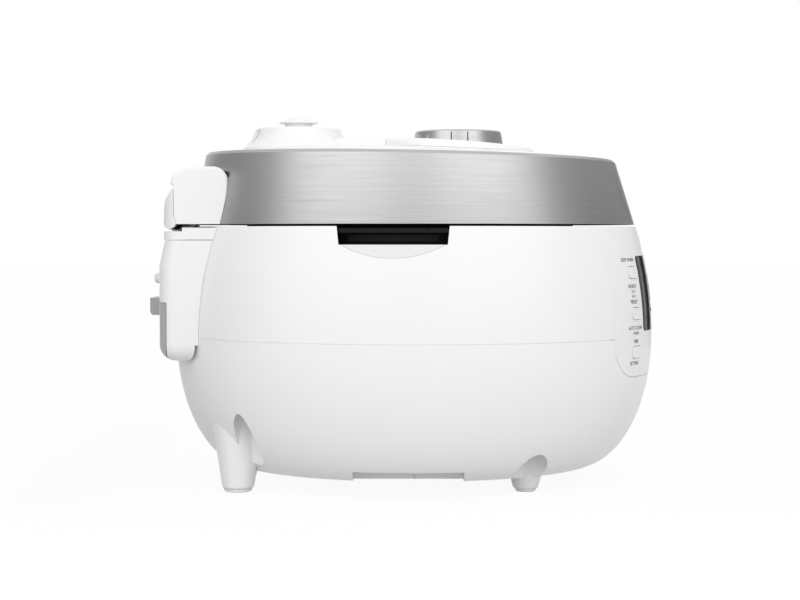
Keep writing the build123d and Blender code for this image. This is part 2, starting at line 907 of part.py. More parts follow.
def thermal_fuse():
    body = Rotation(0, 90, 0) * Cylinder(fuse_radius, fuse_length)
    middle = (sensor_radius + cup_room + element_radius - element_tube) / 2
    return pot_axis * Pos(-middle, 0, heat_z - fit - fuse_radius) * body


def top_frame():
    deck_top = rim_z - frame_drop
    grip_low = rim_z - grip_drop
    hole = ring_outer + frame_room
    outside = body_solid(-wall - fit)
    deck = (outside & level(deck_top - frame_deck, deck_top)) - rod(hole, 0, far, 0, pot_y)
    skirt = outside - body_solid(-wall - fit - frame_tube_wall)
    skirt &= level(deck_top - frame_skirt, deck_top - frame_deck / 2)
    middle = grip_middle()
    half = grip_width / 2 + wall + fit
    skirt -= block(-far, far, middle - half, middle + half, 0, deck_top - frame_deck / 2)
    clear = board_half + frame_front_cut
    skirt -= block(-clear, clear, -far, body_y, 0, deck_top - frame_deck)
    inner = tube(hole + frame_tube_wall, hole, deck_top - frame_tube, deck_top - 1, 0, pot_y)
    ledge_z = pot_top - well_shoulder_drop - well_wall
    inside = hole - frame_ledge
    ledge = tube(hole + frame_tube_wall, inside, ledge_z - frame_deck, ledge_z - run, 0, pot_y)
    frame = deck + skirt + inner + ledge
    bar_top = rim_z - grip_bar_drop
    bar_out = hole + frame_tube_wall + grip_bar_proud
    bar = tube(bar_out, hole + frame_tube_wall / 2, bar_top - grip_bar_height, bar_top, 0, pot_y)
    length = grip_bar_length / 2
    bar &= block(-far, far, middle - length, middle + length, grip_low, far)
    return frame + bar


def plan_outline(back, bow, inset):
    # the back column seen from above: flat sides, rounded corners and a bowed back
    half = column_half - inset
    corner = back - bow - inset
    front = body_y + body_length / 6
    arc = ThreePointArc((half, corner), (0, back - inset), (-half, corner)) if bow > 0 else None
    side = Polyline((-half, corner), (-half, front), (half, front), (half, corner))
    closing = arc if bow > 0 else Line((half, corner), (-half, corner))
    face = make_face([side, closing])
    ends = [v for v in face.vertices() if v.Y > front + 1]
    return fillet(ends, max(column_corner - inset, 1))


def column_solid(inset):
    # the whole back column with a rounded foot and a leaning top, before the body is cut away
    low_z = column_bottom + inset
    start = column_top - column_lean_height
    plan = plan_outline(column_y, column_bow, inset)
    solid = Pos(0, 0, low_z) * extrude(plan, start - low_z)
    solid = fillet(solid.faces().sort_by(Axis.Z)[0].edges(), column_round - inset)
    drawn_in = plan_outline(column_y - column_lean, column_bow, inset)
    return solid + loft([Pos(0, 0, start) * plan, Pos(0, 0, column_top) * drawn_in], ruled=True)


def dish_face(z0, z1, grow):
    return block(-far, far, pivot_y + dish_split - grow, far, z0, z1)


def dish_way(inset):
    # what leaves straight through the open back of the column
    behind = column_solid(inset) & dish_face(0, far, 0)
    mouth = behind.faces().sort_by(Axis.Y)[0]
    return behind + extrude(mouth, body_length / 4, dir=(0, -1, 0))


def rear_cover():
    cover = column_solid(0) & level(column_bottom, column_top - seam / 2)
    cover -= column_solid(wall) & level(0, far)
    cover -= body_solid(fit / 2)
    cover -= body_solid(foot_gap) & level(0, column_bottom + column_round)
    cover -= dish_face(0, dish_top + seam, 0)
    nub = Rotation(-90, 0, 0) * Cylinder(nub_radius, nub_reach + wall, align=low)
    nub = Pos(0, column_y - wall, nub_z) * nub
    return cover + fillet(nub.edges().sort_by(Axis.Y)[-1], nub_round)


def dew_dish():
    # a crescent tub between the body and the column's back wall, with a pull tab
    floor = column_bottom + wall + fit
    tub_inset = wall + fit
    outside = column_solid(0) & dish_face(0, dish_top, -seam)
    outside += dish_way(tub_inset) & level(floor, dish_top - dish_wall)
    outside -= body_solid(dish_gap)
    inside = column_solid(dish_wall) & dish_face(floor + dish_wall, far, -seam - dish_wall)
    inside += dish_way(tub_inset + dish_wall) & level(floor + dish_wall, far)
    inside -= body_solid(dish_gap + dish_wall)
    end = column_y + tab_reach
    tab = block(-tab_half, tab_half, column_y - dish_wall, end, tab_bottom, tab_top)
    tab -= block(-tab_half + tab_wall, tab_half - tab_wall, 0, end - tab_wall, 0, tab_top - tab_wall)
    back_edges = [e for e in tab.edges().filter_by(Axis.X) if e.center().Y > end - 0.1]
    foot = [e for e in back_edges if e.center().Z < tab_bottom + 0.1]
    tab = chamfer(foot, tab_wall, tab_wall * 0.8)
    tab = fillet([e for e in tab.edges().filter_by(Axis.Z) if e.center().Y > end - 0.1], tab_wall)
    tab -= block(-far, far, 0, column_y + seam, dish_top, far)
    return outside - inside + tab


def hinge_housing():
    plan = plan_outline(pivot_y + back_flat, 0, 0)
    low_z = column_top + seam / 2
    high = rim_z - housing_below
    block_all = extrude(plan, far) & level(low_z, high)
    lowered = block(-far, far, pivot_y - saddle_front, far, rim_z - saddle_below, far)
    housing = block_all - lowered - body_solid(fit / 2)
    knuckle = cross_rod(knuckle_radius, -knuckle_half, knuckle_half, pivot_y, pivot_z)
    back = pivot_y + back_flat - web_inset
    web = block(-knuckle_half, knuckle_half, pivot_y - back_flat, back, low_z, pivot_z)
    housing += knuckle + web
    housing -= cross_rod(pin_radius + run, -far, far, pivot_y, pivot_z)
    return housing - cross_rod(spring_radius + fit, -spring_half - fit, spring_half + fit, pivot_y, pivot_z)


def hinge_pin():
    return cross_rod(pin_radius, -pin_half, pin_half, pivot_y, pivot_z)


def hinge_spring():
    outer = cross_rod(spring_radius, -spring_half, spring_half, pivot_y, pivot_z)
    return outer - cross_rod(spring_radius - spring_wall, -far, far, pivot_y, pivot_z)


def lid_band():
    start = band_bevel / lid_height
    top = lid_section(0, -band_bevel_in)
    outside = loft([lid_section(start, 0), top], ruled=True) + lid_cone(0, start, 1)
    inside = lid_cone(-band_wall, 2 * start, 1.2)
    inside += lid_place * oval(rod(lid_top_length / 2 - band_lip, -4 * band_bevel, far))
    gap = arm_outer + arm_room
    return outside - inside - block(-gap, gap, body_y, far, 0, pivot_z + arm_rise)


def lid_cover():
    plug = lid_place * oval(rod(cover_radius, -cover_skirt, far))
    room = lid_place * oval(rod(cover_radius - cover_skirt_wall, -cover_skirt - 1, far))
    cover = (plug & crown) - (room & crown_solid(-cover_wall))
    for angle in post_angles:
        x = post_ring * cos(radians(angle))
        y = pot_y + post_ring * sin(radians(angle))
        cover += rod(cover_post, plate_top, far, x, y) & crown_solid(-cover_wall / 2)
        cover -= rod(screw_shank + fit, plate_top - 1, plate_top + screw_length + 2, x, y)
    cover -= rod(dial_spigot + fit, plate_top, far, 0, knob_y)
    return cover - rod(nozzle_radius + fit, plate_top, far, 0, vent_y)


def dial_plate():
    # a round island on the crown with a rolled edge and a pocket for the knob
    disc = Cylinder(dial_radius, 4 * dial_round, align=(Align.CENTER, Align.CENTER, Align.MAX))
    disc = fillet(disc.edges().group_by(Axis.Z)[-1], dial_round)
    island = Location((0, knob_y, lid_top_z + dial_top), (dial_tilt, 0, 0)) * disc
    island -= crown_solid(touch) & rod(2 * dial_radius, 0, far, 0, knob_y)
    plate = island + rod(dial_spigot, seat_z - dial_floor, seat_z + 1, 0, knob_y)
    plate -= rod(knob_radius + 2 * fit, seat_z, far, 0, knob_y)
    return plate - rod(bush_radius + run, 0, far, 0, knob_y)


def bridge_pad(grow):
    top = lid_top_z + bridge_top + grow
    half = bridge_half + grow
    pad = block(-half, half, knob_y, vent_y, 0, top)
    upper = [e for e in pad.edges().filter_by(Axis.Y) if e.center().Z > top - 0.1]
    return fillet(upper, bridge_round + grow)


def lid_bridge():
    pad = bridge_pad(0) & level(lid_top_z, far)
    pad -= rod(dial_radius + seam, 0, far, 0, knob_y)
    pad -= rod(cap_radius + seam, 0, far, 0, vent_y)
    return pad - (crown_solid(touch) & rod(2 * dial_radius, 0, far, 0, knob_y))


def knob_bush():
    under = seat_z - dial_floor
    bush = rod(bush_radius, seat_z - bush_length, seat_z, 0, knob_y)
    bush += rod(bush_flange, under - bush_flange_thick, under, 0, knob_y)
    return bush - rod(shaft_radius + run, 0, far, 0, knob_y)


def lid_base():
    slab = lid_cone(-band_wall - fit, 0, 1)
    gap = knuckle_half + 1
    foot = band_z + base_lift
    ring_hole = rod(ring_outer + ring_room, 0, far, 0, pot_y)
    slab -= block(-gap, gap, pivot_y - knuckle_radius - 1, far, 0, far)
    slab &= level(foot, foot + base_thick)
    base = slab - ring_hole
    skirt_room = lid_place * oval(rod(cover_radius - cover_skirt_wall - fit, -far, far))
    for x, dy in base_post_places:
        post = rod(base_post, foot + 1, far, x, pot_y + dy)
        base += post & crown_solid(-cover_wall - fit) & skirt_room
    for side in (-1, 1):
        ends = sorted((side * arm_inner, side * arm_outer))
        top = pivot_z + arm_hub * hub_share
        base += block(ends[0], ends[1], pivot_y - arm_length, pivot_y, foot, top)
        base += cross_rod(arm_hub, ends[0], ends[1], pivot_y, pivot_z)
    base -= ring_hole
    return base - cross_rod(pin_radius + run, -far, far, pivot_y, pivot_z)


def hinge_side(inset):
    # side view of the hinge cover; the inner one runs on through the band
    back = pivot_y - hinge_ahead - inset
    foot = band_z + 0.1
    top = rim_z + hinge_top - inset
    front = pivot_y - hinge_ahead - hinge_length
    step = rim_z + rear_strip_top + hinge_lip / 2
    nose = back + hinge_lip
    corner = hinge_corner - inset
    if inset > 0:
        foot -= 2 * hinge_length
        front -= 2 * hinge_length
    rise = top - step - hinge_lip
    bend = EllipticalCenterArc((nose - corner, top - rise), corner, rise, 0, arc_size=90)
    rest = Polyline((nose - corner, top), (front, top), (front, foot), (back, foot), (back, step),
                    (nose, step + hinge_lip))
    return make_face([bend, rest])


def lid_hinge_cover():
    shell = extrude(Plane.YZ * hinge_side(0), column_half, both=True)
    front = pivot_y - hinge_ahead - hinge_length
    top = rim_z + hinge_top
    nose_edge = [e for e in shell.edges() if e.center().Y < front + 0.1 and e.center().Z > top - 0.1]
    shell = fillet(nose_edge, hinge_nose)
    rims = [e for e in shell.edges() if abs(e.center().X) > column_half - 0.1]
    shell = fillet([e for e in rims if e.center().Z > rim_z + rear_strip_top], hinge_edge)
    shell -= extrude(Plane.YZ * hinge_side(hinge_wall), column_half - hinge_wall, both=True)
    shell -= lid_cone(fit / 2, -0.1, 1.2)
    gap = arm_outer + arm_room
    shell -= block(-gap, gap, pivot_y - 2 * hinge_ahead, far, 0, pivot_z + arm_hub)
    middle = arm_outer + strip_barrel
    shell -= cross_rod(arm_hub + 1, -middle, middle, pivot_y, pivot_z)
    return shell - cross_rod(back_flat + fit / 2, -far, far, pivot_y, pivot_z)


def lid_rear_cover():
    back = pivot_y + back_flat
    front = pivot_y - hinge_ahead + fit
    top = rim_z + rear_strip_top
    points = [(front, pivot_z), (front, top), (front + strip_edge, top),
              (back - strip_slope_in, top - strip_slope_drop), (back, top - strip_flat_drop),
              (back, pivot_z)]
    strip = extrude(Plane.YZ * make_face(Polyline(*points, close=True)), column_half, both=True)
    strip &= extrude(plan_outline(back, 0, 0), far)
    half = column_half - strip_end
    strip -= block(-half, half, front - 1, front + strip_hollow, pivot_z + strip_hollow_low,
                   top - strip_hollow_high)
    middle = arm_outer + strip_barrel
    strip -= cross_rod(arm_hub + 1, -middle, middle, pivot_y, pivot_z)
    for side in (-1, 1):
        ends = sorted((side * middle, side * (column_half - strip_barrel_end)))
        barrel = cross_rod(back_flat, ends[0], ends[1], pivot_y, pivot_z)
        strip += barrel & extrude(plan_outline(back + fit, 0, 0), far)
    return strip


def gear_face(teeth, tip, root, thin):
    # involute teeth; a tooth points along -Y
    pitch = gear_module * teeth / 2
    slope = radians(pressure_angle)
    base = pitch * cos(slope)
    lean = tan(slope) - slope
    half = pi / (2 * teeth) - thin / (2 * pitch) + lean
    points = []
    for number in range(teeth):
        middle = 2 * pi * number / teeth - pi / 2
        start = max(base, root)
        steps = [start + (tip - start) * step / 4 for step in range(5)]
        flank = [(r, half - (sqrt((r / base) ** 2 - 1) - atan2(sqrt((r / base) ** 2 - 1), 1))) for r in steps]
        flank = [(root, flank[0][1])] + flank if root < base else flank
        points += [(r * cos(middle - a), r * sin(middle - a)) for r, a in flank]
        points += [(r * cos(middle + a), r * sin(middle + a)) for r, a in reversed(flank)]
    return make_face(Polyline(*points, close=True))


def lock_shaft():
    shaft = rod(shaft_radius, plate_top - shaft_socket, knob_z + knob_height / 2)
    pitch = gear_module * pinion_teeth / 2
    face = gear_face(pinion_teeth, pitch + gear_module, pitch - 1.25 * gear_module, gear_backlash)
    pinion = Pos(0, 0, gear_z) * extrude(face, gear_thick)
    return Pos(0, knob_y, 0) * (shaft + pinion)


def lock_ring():
    top = gear_z + gear_thick
    low_z = pot_top - pot_flange_thick - ring_lug_drop - ring_lug_thick
    ring = tube(ring_outer, ring_inner, low_z, top)
    ring += tube(ring_outer, ring_inner - ring_flange_width, gear_z, top)
    for number in range(lug_count):
        ring += lug(lug_radius - ring_bite, ring_inner + 1, ring_lug_angle, (number + 0.5) * 360 / lug_count,
                    low_z, low_z + ring_lug_thick)
    pitch = gear_module * ring_teeth / 2
    arm = lug(pitch - 0.75 * gear_module, ring_inner, sector_angle, sector_middle, gear_z, top)
    space = gear_face(ring_teeth, pitch + 1.25 * gear_module, pitch - 0.8 * gear_module, 0)
    return pot_axis * (ring + (arm - Pos(0, 0, gear_z - 1) * extrude(space, gear_thick + 2)))


def lock_knob():
    knob = Pos(0, 0, knob_z) * Cone(knob_radius, knob_top_radius, knob_height, align=low)
    hollow = rod(knob_top_radius - knob_rim, knob_top - knob_hollow, knob_top + 1)
    hollow -= block(-far, far, -knob_bar / 2, knob_bar / 2, 0, far)
    knob -= hollow
    knob = chamfer(knob.edges().group_by(Axis.Z)[-1].filter_by(GeomType.CIRCLE), knob_edge)
    foot = knob_radius + knob_bar_proud
    wide = Pos(0, 0, knob_z) * Cone(foot, knob_top_radius + knob_bar_proud, knob_height, align=low)
    knob += wide & block(-far, far, -knob_bar / 2, knob_bar / 2, 0, knob_top - knob_edge)
    knob -= rod(shaft_radius + run, 0, knob_z + knob_height / 2 + run)
    return Pos(0, knob_y, 0) * knob


def pressure_plate():
    plate = rod(ring_inner - plate_ring_gap, plate_bottom, plate_top, 0, pot_y)
    plate -= rod(shaft_radius + run, plate_top - shaft_socket - fit, far, 0, knob_y)
    plate -= rod(nozzle_radius + run, 0, far, 0, vent_y)
    plate -= rod(plunger_seat, 0, far, valve_x, valve_y)
    for x, y in plate_screw_places():
        plate -= rod(screw_shank + fit, 0, far, x, y)
        plate -= rod(screw_head + fit, 0, plate_bottom + screw_head_thick, x, y)
    return plate


def plate_screw_places():
    return [(post_ring * cos(radians(a)), pot_y + post_ring * sin(radians(a))) for a in post_angles]


def plate_screws():
    seat = plate_bottom + screw_head_thick
    return sum_of(screw(x, y, seat) for x, y in plate_screw_places())


def inner_cover():
    radius = pot_radius - inner_cover_inset
    z = plate_bottom - inner_cover_drop
    cover = rod(radius, z, z + inner_cover_thick)
    cover += tube(radius, radius - inner_cover_thick, z, plate_bottom - touch)
    cover += rod(inner_boss, z, plate_bottom)
    for number in range(hole_count):
        angle = 2 * pi * number / hole_count
        cover -= rod(hole_radius, 0, far, hole_ring * cos(angle), hole_ring * sin(angle))
    return pot_axis * cover


def lid_gasket():
    inner = pot_radius - inner_cover_inset + fit
    outer = inner + gasket_width
    top = plate_bottom - touch
    foot = pot_top + fit
    lip = gasket_width / 3
    groove = foot + gasket_groove
    edge = foot + gasket_edge
    points = [(inner, top), (inner, edge), (inner + gasket_edge, foot), (inner + lip, foot),
              (inner + lip + gasket_groove, groove), (outer - lip - gasket_groove, groove),
              (outer - lip, foot), (outer - gasket_edge, foot), (outer, edge), (outer, top)]
    return pot_axis * turned(points)


def steam_cap():
    foot = lid_top_z + cap_bottom
    shoulder = cap_top_z - cap_edge
    low_z = foot - cap_skirt
    bulge = RadiusArc((cap_base, foot), (cap_radius, shoulder), 2 * (cap_top_z - foot))
    rest = Polyline((cap_radius, shoulder), (cap_radius - cap_edge, cap_top_z), (0, cap_top_z), (0, low_z),
                    (cap_base, low_z), (cap_base, foot))
    cap = revolve(Plane.XZ * make_face([bulge, rest]), Axis.Z)
    cap -= rod(cap_radius - cap_wall, low_z - 1, cap_top_z - cap_wall)
    cap -= rod(weight_neck + weight_play, foot, cap_top_z + 1)
    for angle in cap_slots:
        slot = block(-cap_slot / 2, cap_slot / 2, 0, far, cap_top_z - cap_slot_low, cap_top_z - cap_slot_high)
        cap -= Rotation(0, 0, angle) * (slot - rod(cap_radius - cap_wall - 1, 0, far))
    under = crown_solid(touch) & rod(2 * cap_base, 0, far, 0, vent_y)
    under += bridge_pad(fit / 2)
    return Pos(0, vent_y, 0) * cap - under


def pressure_weight():
    flange = cap_top_z + weight_gap
    top = flange + weight_flange_thick
    ball = (weight_dome_radius ** 2 + weight_dome ** 2) / (2 * weight_dome)
    start = degrees(asin((ball - weight_dome) / ball))
    dome = CenterArc((0, top + weight_dome - ball), ball, start, 90 - start)
    rest = Polyline((0, top + weight_dome), (0, weight_z), (weight_neck, weight_z), (weight_neck, flange),
                    (weight_flange, flange), (weight_flange, top), (weight_dome_radius, top))
    return Pos(0, vent_y, 0) * revolve(Plane.XZ * make_face([dome, rest]), Axis.Z)


def steam_nozzle():
    top = weight_z - fit
    nozzle = rod(nozzle_radius, plate_bottom, top) + rod(nozzle_nut, plate_top, plate_top + nozzle_nut_thick)
    return Pos(0, vent_y, 0) * (nozzle - rod(nozzle_bore, 0, far))


def safety_valve():
    hexagon = extrude(RegularPolygon(valve_radius, 6), valve_hexagon)
    valve = Pos(0, 0, plate_top) * hexagon
    valve += rod(valve_stem, plate_top + valve_stem_low, plate_top + valve_height)
    return Pos(-valve_x, valve_y, 0) * valve


def exhaust_solenoid():
    coil = rod(solenoid_radius, plate_top, plate_top + solenoid_height)
    return Pos(valve_x, valve_y, 0) * (coil - rod(plunger_radius + run, 0, far))


def solenoid_plunger():
    top = plate_top + solenoid_height
    stem = rod(plunger_radius, plate_top + fit, top + plunger_head_thick)
    return Pos(valve_x, valve_y, 0) * (stem + rod(plunger_head, top + fit, top + fit + plunger_head_thick))


nodes = {
    "base_shell": base_shell, "upper_housing": upper_housing, "bottom_plate": bottom_plate,
    "foot_pads": foot_pads, "base_screws": base_screws, "bottom_screws": bottom_screws,
    "front_panel": front_panel, "display_window": display_window, "display_module": display_module,
    "control_board": control_board, "key_switches": key_switches, "power_board": power_board,
    "transformer": transformer, "top_frame": top_frame, "pot_well": pot_well, "warm_band": warm_band,
    "heating_plate": heating_plate, "heater_element": heater_element, "sensor_bracket": sensor_bracket,
    "sensor_cap": sensor_cap, "sensor_spring": sensor_spring, "thermal_fuse": thermal_fuse,
    "inner_pot": inner_pot, "rear_cover": rear_cover, "dew_dish": dew_dish, "cord_gland": cord_gland,
    "hinge_housing": hinge_housing, "hinge_pin": hinge_pin, "hinge_spring": hinge_spring,
    "lid_band": lid_band, "lid_cover": lid_cover, "lid_bridge": lid_bridge, "dial_plate": dial_plate,
    "knob_bush": knob_bush,
    "lid_base": lid_base, "lid_hinge_cover": lid_hinge_cover, "lid_rear_cover": lid_rear_cover,
    "pressure_plate": pressure_plate, "plate_screws": plate_screws, "inner_cover": inner_cover,
    "lid_gasket": lid_gasket, "lock_ring": lock_ring, "lock_shaft": lock_shaft, "lock_knob": lock_knob,
    "steam_cap": steam_cap, "pressure_weight": pressure_weight, "steam_nozzle": steam_nozzle,
    "safety_valve": safety_valve, "exhaust_solenoid": exhaust_solenoid, "solenoid_plunger": solenoid_plunger,
}

os.makedirs("parts", exist_ok=True)
for name, make in nodes.items():
    export_step(make(), f"parts/{name}.step")
for number, z in enumerate(key_levels, 1):
    export_step(key_cap(-1, z), f"parts/key_left_{number}.step")
    export_step(key_cap(1, z), f"parts/key_right_{number}.step")
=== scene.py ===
import math
import bmesh
import bpy
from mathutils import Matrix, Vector
from mathutils.bvhtree import BVHTree


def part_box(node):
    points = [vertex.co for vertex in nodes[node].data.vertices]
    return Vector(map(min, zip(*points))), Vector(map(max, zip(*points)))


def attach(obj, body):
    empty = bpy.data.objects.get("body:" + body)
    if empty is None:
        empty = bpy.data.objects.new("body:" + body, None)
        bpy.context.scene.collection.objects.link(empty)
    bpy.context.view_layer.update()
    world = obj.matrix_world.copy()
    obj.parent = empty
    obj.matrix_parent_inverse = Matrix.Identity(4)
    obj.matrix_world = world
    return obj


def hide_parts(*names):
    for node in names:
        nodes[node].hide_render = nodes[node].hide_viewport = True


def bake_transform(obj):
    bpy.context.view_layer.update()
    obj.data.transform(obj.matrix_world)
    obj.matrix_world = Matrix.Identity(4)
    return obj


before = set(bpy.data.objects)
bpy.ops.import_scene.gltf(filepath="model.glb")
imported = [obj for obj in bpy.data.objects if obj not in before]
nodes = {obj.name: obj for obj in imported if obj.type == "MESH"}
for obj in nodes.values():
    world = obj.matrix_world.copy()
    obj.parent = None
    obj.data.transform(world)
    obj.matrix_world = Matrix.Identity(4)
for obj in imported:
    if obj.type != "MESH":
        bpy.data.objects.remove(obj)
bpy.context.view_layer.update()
stage = bpy.context.scene
stage.view_settings.view_transform = "Standard"

cameraSet = {
    "place": (-1.2, 0.00105, 0.174),     # level with the lid's foot, square to the left side
    "pitchDown": math.atan(65 / 1667),
    "focalPixels": 1667,
    "imageWidth": 800,
    "sensor": 36.0,
}
eye = bpy.data.cameras.new("sideCamera")
eye.sensor_fit = "HORIZONTAL"
eye.sensor_width = cameraSet["sensor"]
eye.lens = cameraSet["focalPixels"] / cameraSet["imageWidth"] * cameraSet["sensor"]
eye.clip_end = 60
sideCamera = bpy.data.objects.new("sideCamera", eye)
sideCamera.location = cameraSet["place"]
sideCamera.rotation_euler = (math.pi / 2 - cameraSet["pitchDown"], 0, -math.pi / 2)
stage.collection.objects.link(sideCamera)
stage.camera = sideCamera
print("camera: lens", round(eye.lens, 2))


class Wire:  # a value on its way through a node tree
    def __init__(self, owner, socket):
        self.owner = owner
        self.socket = socket

    def calc(self, operation, *values):
        return self.owner.add("ShaderNodeMath", {"operation": operation}, dict(enumerate(values)))

    def __add__(self, other):
        return self.calc("ADD", self, other)

    def __sub__(self, other):
        return self.calc("SUBTRACT", self, other)

    def __rsub__(self, other):
        return self.calc("SUBTRACT", other, self)

    def __mul__(self, other):
        return self.calc("MULTIPLY", self, other)

    def __truediv__(self, other):
        return self.calc("DIVIDE", self, other)

    def __rtruediv__(self, other):
        return self.calc("DIVIDE", other, self)

    def __gt__(self, other):
        return self.calc("GREATER_THAN", self, other)

    def __lt__(self, other):
        return self.calc("LESS_THAN", self, other)

    __radd__ = __add__
    __rmul__ = __mul__


class Tree:  # builds nodes in a material, the world or any shader tree
    def __init__(self, tree):
        self.tree = tree

    def add(self, kind, settings=None, sockets=None, out=0):
        made = self.tree.nodes.new(kind)
        for key, value in (settings or {}).items():
            if key == "stops":
                ramp = made.color_ramp
                while len(ramp.elements) < len(value):
                    ramp.elements.new(1.0)
                for stop, (place, colour) in zip(ramp.elements, value):
                    stop.position = place
                    stop.color = colour
            else:
                setattr(made, key, value)
        for key, value in (sockets or {}).items():
            self.join(made.inputs[key], value)
        return Wire(self, made.outputs[out])

    def join(self, socket, value):
        for each in value if isinstance(value, list) else [value]:
            if isinstance(each, Wire):
                self.tree.links.new(each.socket, socket)
            else:
                socket.default_value = each


class Finish(Tree):  # a material on a Principled shader
    def __init__(self, name, **constants):
        self.material = bpy.data.materials.new(name)
        self.material.use_nodes = True
        super().__init__(self.material.node_tree)
        self.shader = self.tree.nodes["Principled BSDF"]
        for key, value in constants.items():
            self.set(key, value)

    def set(self, socket, value):
        name = "".join(" " + c if c.isupper() else c for c in socket).strip()
        name = name[0].upper() + name[1:]
        self.join(self.shader.inputs[name.replace("I O R", "IOR")], value)

    def place(self, stretch=(1, 1, 1), move=(0, 0, 0)):
        spot = self.add("ShaderNodeTexCoord", out="Object")
        return self.add("ShaderNodeMapping", sockets={"Vector": spot, "Location": move, "Scale": stretch})

    def noise(self, scale, detail=2.0, rough=0.5, stretch=(1, 1, 1), move=(0, 0, 0)):
        return self.add("ShaderNodeTexNoise", sockets={
            "Vector": self.place(stretch, move), "Scale": scale, "Detail": detail, "Roughness": rough})

    def spread(self, value, low, high, toLow, toHigh):
        return self.add("ShaderNodeMapRange", sockets={
            "Value": value, "From Min": low, "From Max": high, "To Min": toLow, "To Max": toHigh})

    def blend(self, amount, first, second):
        return self.add("ShaderNodeMix", {"data_type": "RGBA"}, {0: amount, 6: first, 7: second}, out=2)

    def bump(self, height, strength, distance, rounding=0.0):
        base = self.rounded(rounding) if rounding else None
        sockets = {"Height": height, "Strength": strength, "Distance": distance}
        if base:
            sockets["Normal"] = base
        self.set("normal", self.add("ShaderNodeBump", sockets=sockets))

    def rounded(self, radius):
        return self.add("ShaderNodeBevel", {"samples": 6}, {"Radius": radius})


def grey(level, warm=0.0):
    return (level + warm, level, level - warm, 1)


def plasticFinish(name, colour, roughness, grain=0.012, rounding=0.0003, shine=0.5):
    made = Finish(name, specularIORLevel=shine)
    cloud = made.noise(9, 3)
    made.set("baseColor", made.blend(cloud, tuple(c * 0.985 for c in colour[:3]) + (1,), colour))
    made.set("roughness", made.spread(made.noise(55, 4), 0.3, 0.7, roughness - 0.015, roughness + 0.015))
    made.bump(made.noise(1400, 2), grain, 0.0002, rounding)
    return made.material


def brushedFinish(name, colour, roughness, stretch, contrast, rounding=0.0004, footShade=None):
    made = Finish(name, metallic=1.0)
    hair = made.noise(1, 4, 0.65, stretch)
    long = made.noise(1, 2, 0.5, tuple(s * 0.35 for s in stretch), (3, 1, 2))
    streak = made.spread(hair * 0.65 + long * 0.35, 0.3, 0.7, 0.0, 1.0)
    low = tuple(c * (1 - contrast) for c in colour[:3]) + (1,)
    shade = made.blend(streak, low, colour)
    if footShade:                             # painted shade, darker towards the foot where the reflection is dimmer: low and high level, share lost at the foot
        spot = made.add("ShaderNodeTexCoord", out="Object")
        level = made.add("ShaderNodeSeparateXYZ", sockets={0: spot}, out="Z")
        shade = made.blend(made.spread(level, footShade[0], footShade[1], footShade[2], 0.0), shade, grey(0.0))
    made.set("baseColor", shade)
    made.set("roughness", made.spread(streak, 0.0, 1.0, roughness + 0.05, roughness - 0.04))
    made.bump(streak, 0.06, 0.0001, rounding)
    return made.material


def turnedFinish(name, colour, roughness, middle, pitch):  # lathe rings round an upright axis
    made = Finish(name, metallic=1.0)
    spot = made.place((1, 1, 0), (-middle[0], -middle[1], 0))
    far = made.add("ShaderNodeVectorMath", {"operation": "LENGTH"}, {0: spot}, out="Value")
    ring = far.calc("SINE", far * (2 * math.pi / pitch)) * 0.5 + 0.5
    worn = made.noise(140, 3)
    low = tuple(c * 0.86 for c in colour[:3]) + (1,)
    made.set("baseColor", made.blend(ring * 0.5 + worn * 0.5, low, colour))
    made.set("roughness", made.spread(worn, 0.3, 0.7, roughness - 0.04, roughness + 0.06))
    made.bump(ring, 0.25, 0.00012, 0.0003)
    return made.material


def speckledFinish(name, colour, fleck, roughness):  # non-stick coating with fine pale flecks
    made = Finish(name, specularIORLevel=0.4)
    cells = made.add("ShaderNodeTexVoronoi", sockets={"Vector": made.place(), "Scale": 620})
    dots = (cells < 0.17) * (made.noise(90, 1) > 0.5)
    made.set("baseColor", made.blend(dots, colour, fleck))
    made.set("roughness", made.spread(made.noise(70, 3), 0.3, 0.7, roughness - 0.04, roughness + 0.05))
    made.bump(made.noise(900, 3), 0.05, 0.0002, 0.0003)
    return made.material


def boardFinish(name):  # solder mask over copper tracks
    made = Finish(name, specularIORLevel=0.5)
    lanes = made.add("ShaderNodeTexBrick", {"offset": 0.35}, {
        "Vector": made.place((1, 1, 1)), "Color1": (0.015, 0.13, 0.05, 1), "Color2": (0.02, 0.17, 0.07, 1),
        "Mortar": (0.05, 0.26, 0.10, 1), "Scale": 90.0, "Mortar Size": 0.03})
    made.set("baseColor", lanes)
    made.set("roughness", made.spread(made.noise(60, 2), 0.3, 0.7, 0.32, 0.42))
    return made.material


scoopSet = {
    "wallRadius": 0.25556, "seam": 0.104, "halfLength": 0.170, "widthRatio": 0.8235, "bodyY": -0.00895,
    "low": 0.157, "high": 0.1679,       # where the finger scoops lie
    # matt and line are painted shade: a grey for the scoops and a darker grey along their edge
    "matt": grey(0.79), "line": grey(0.66), "edge": 0.0016, "depth": 0.0055,
}


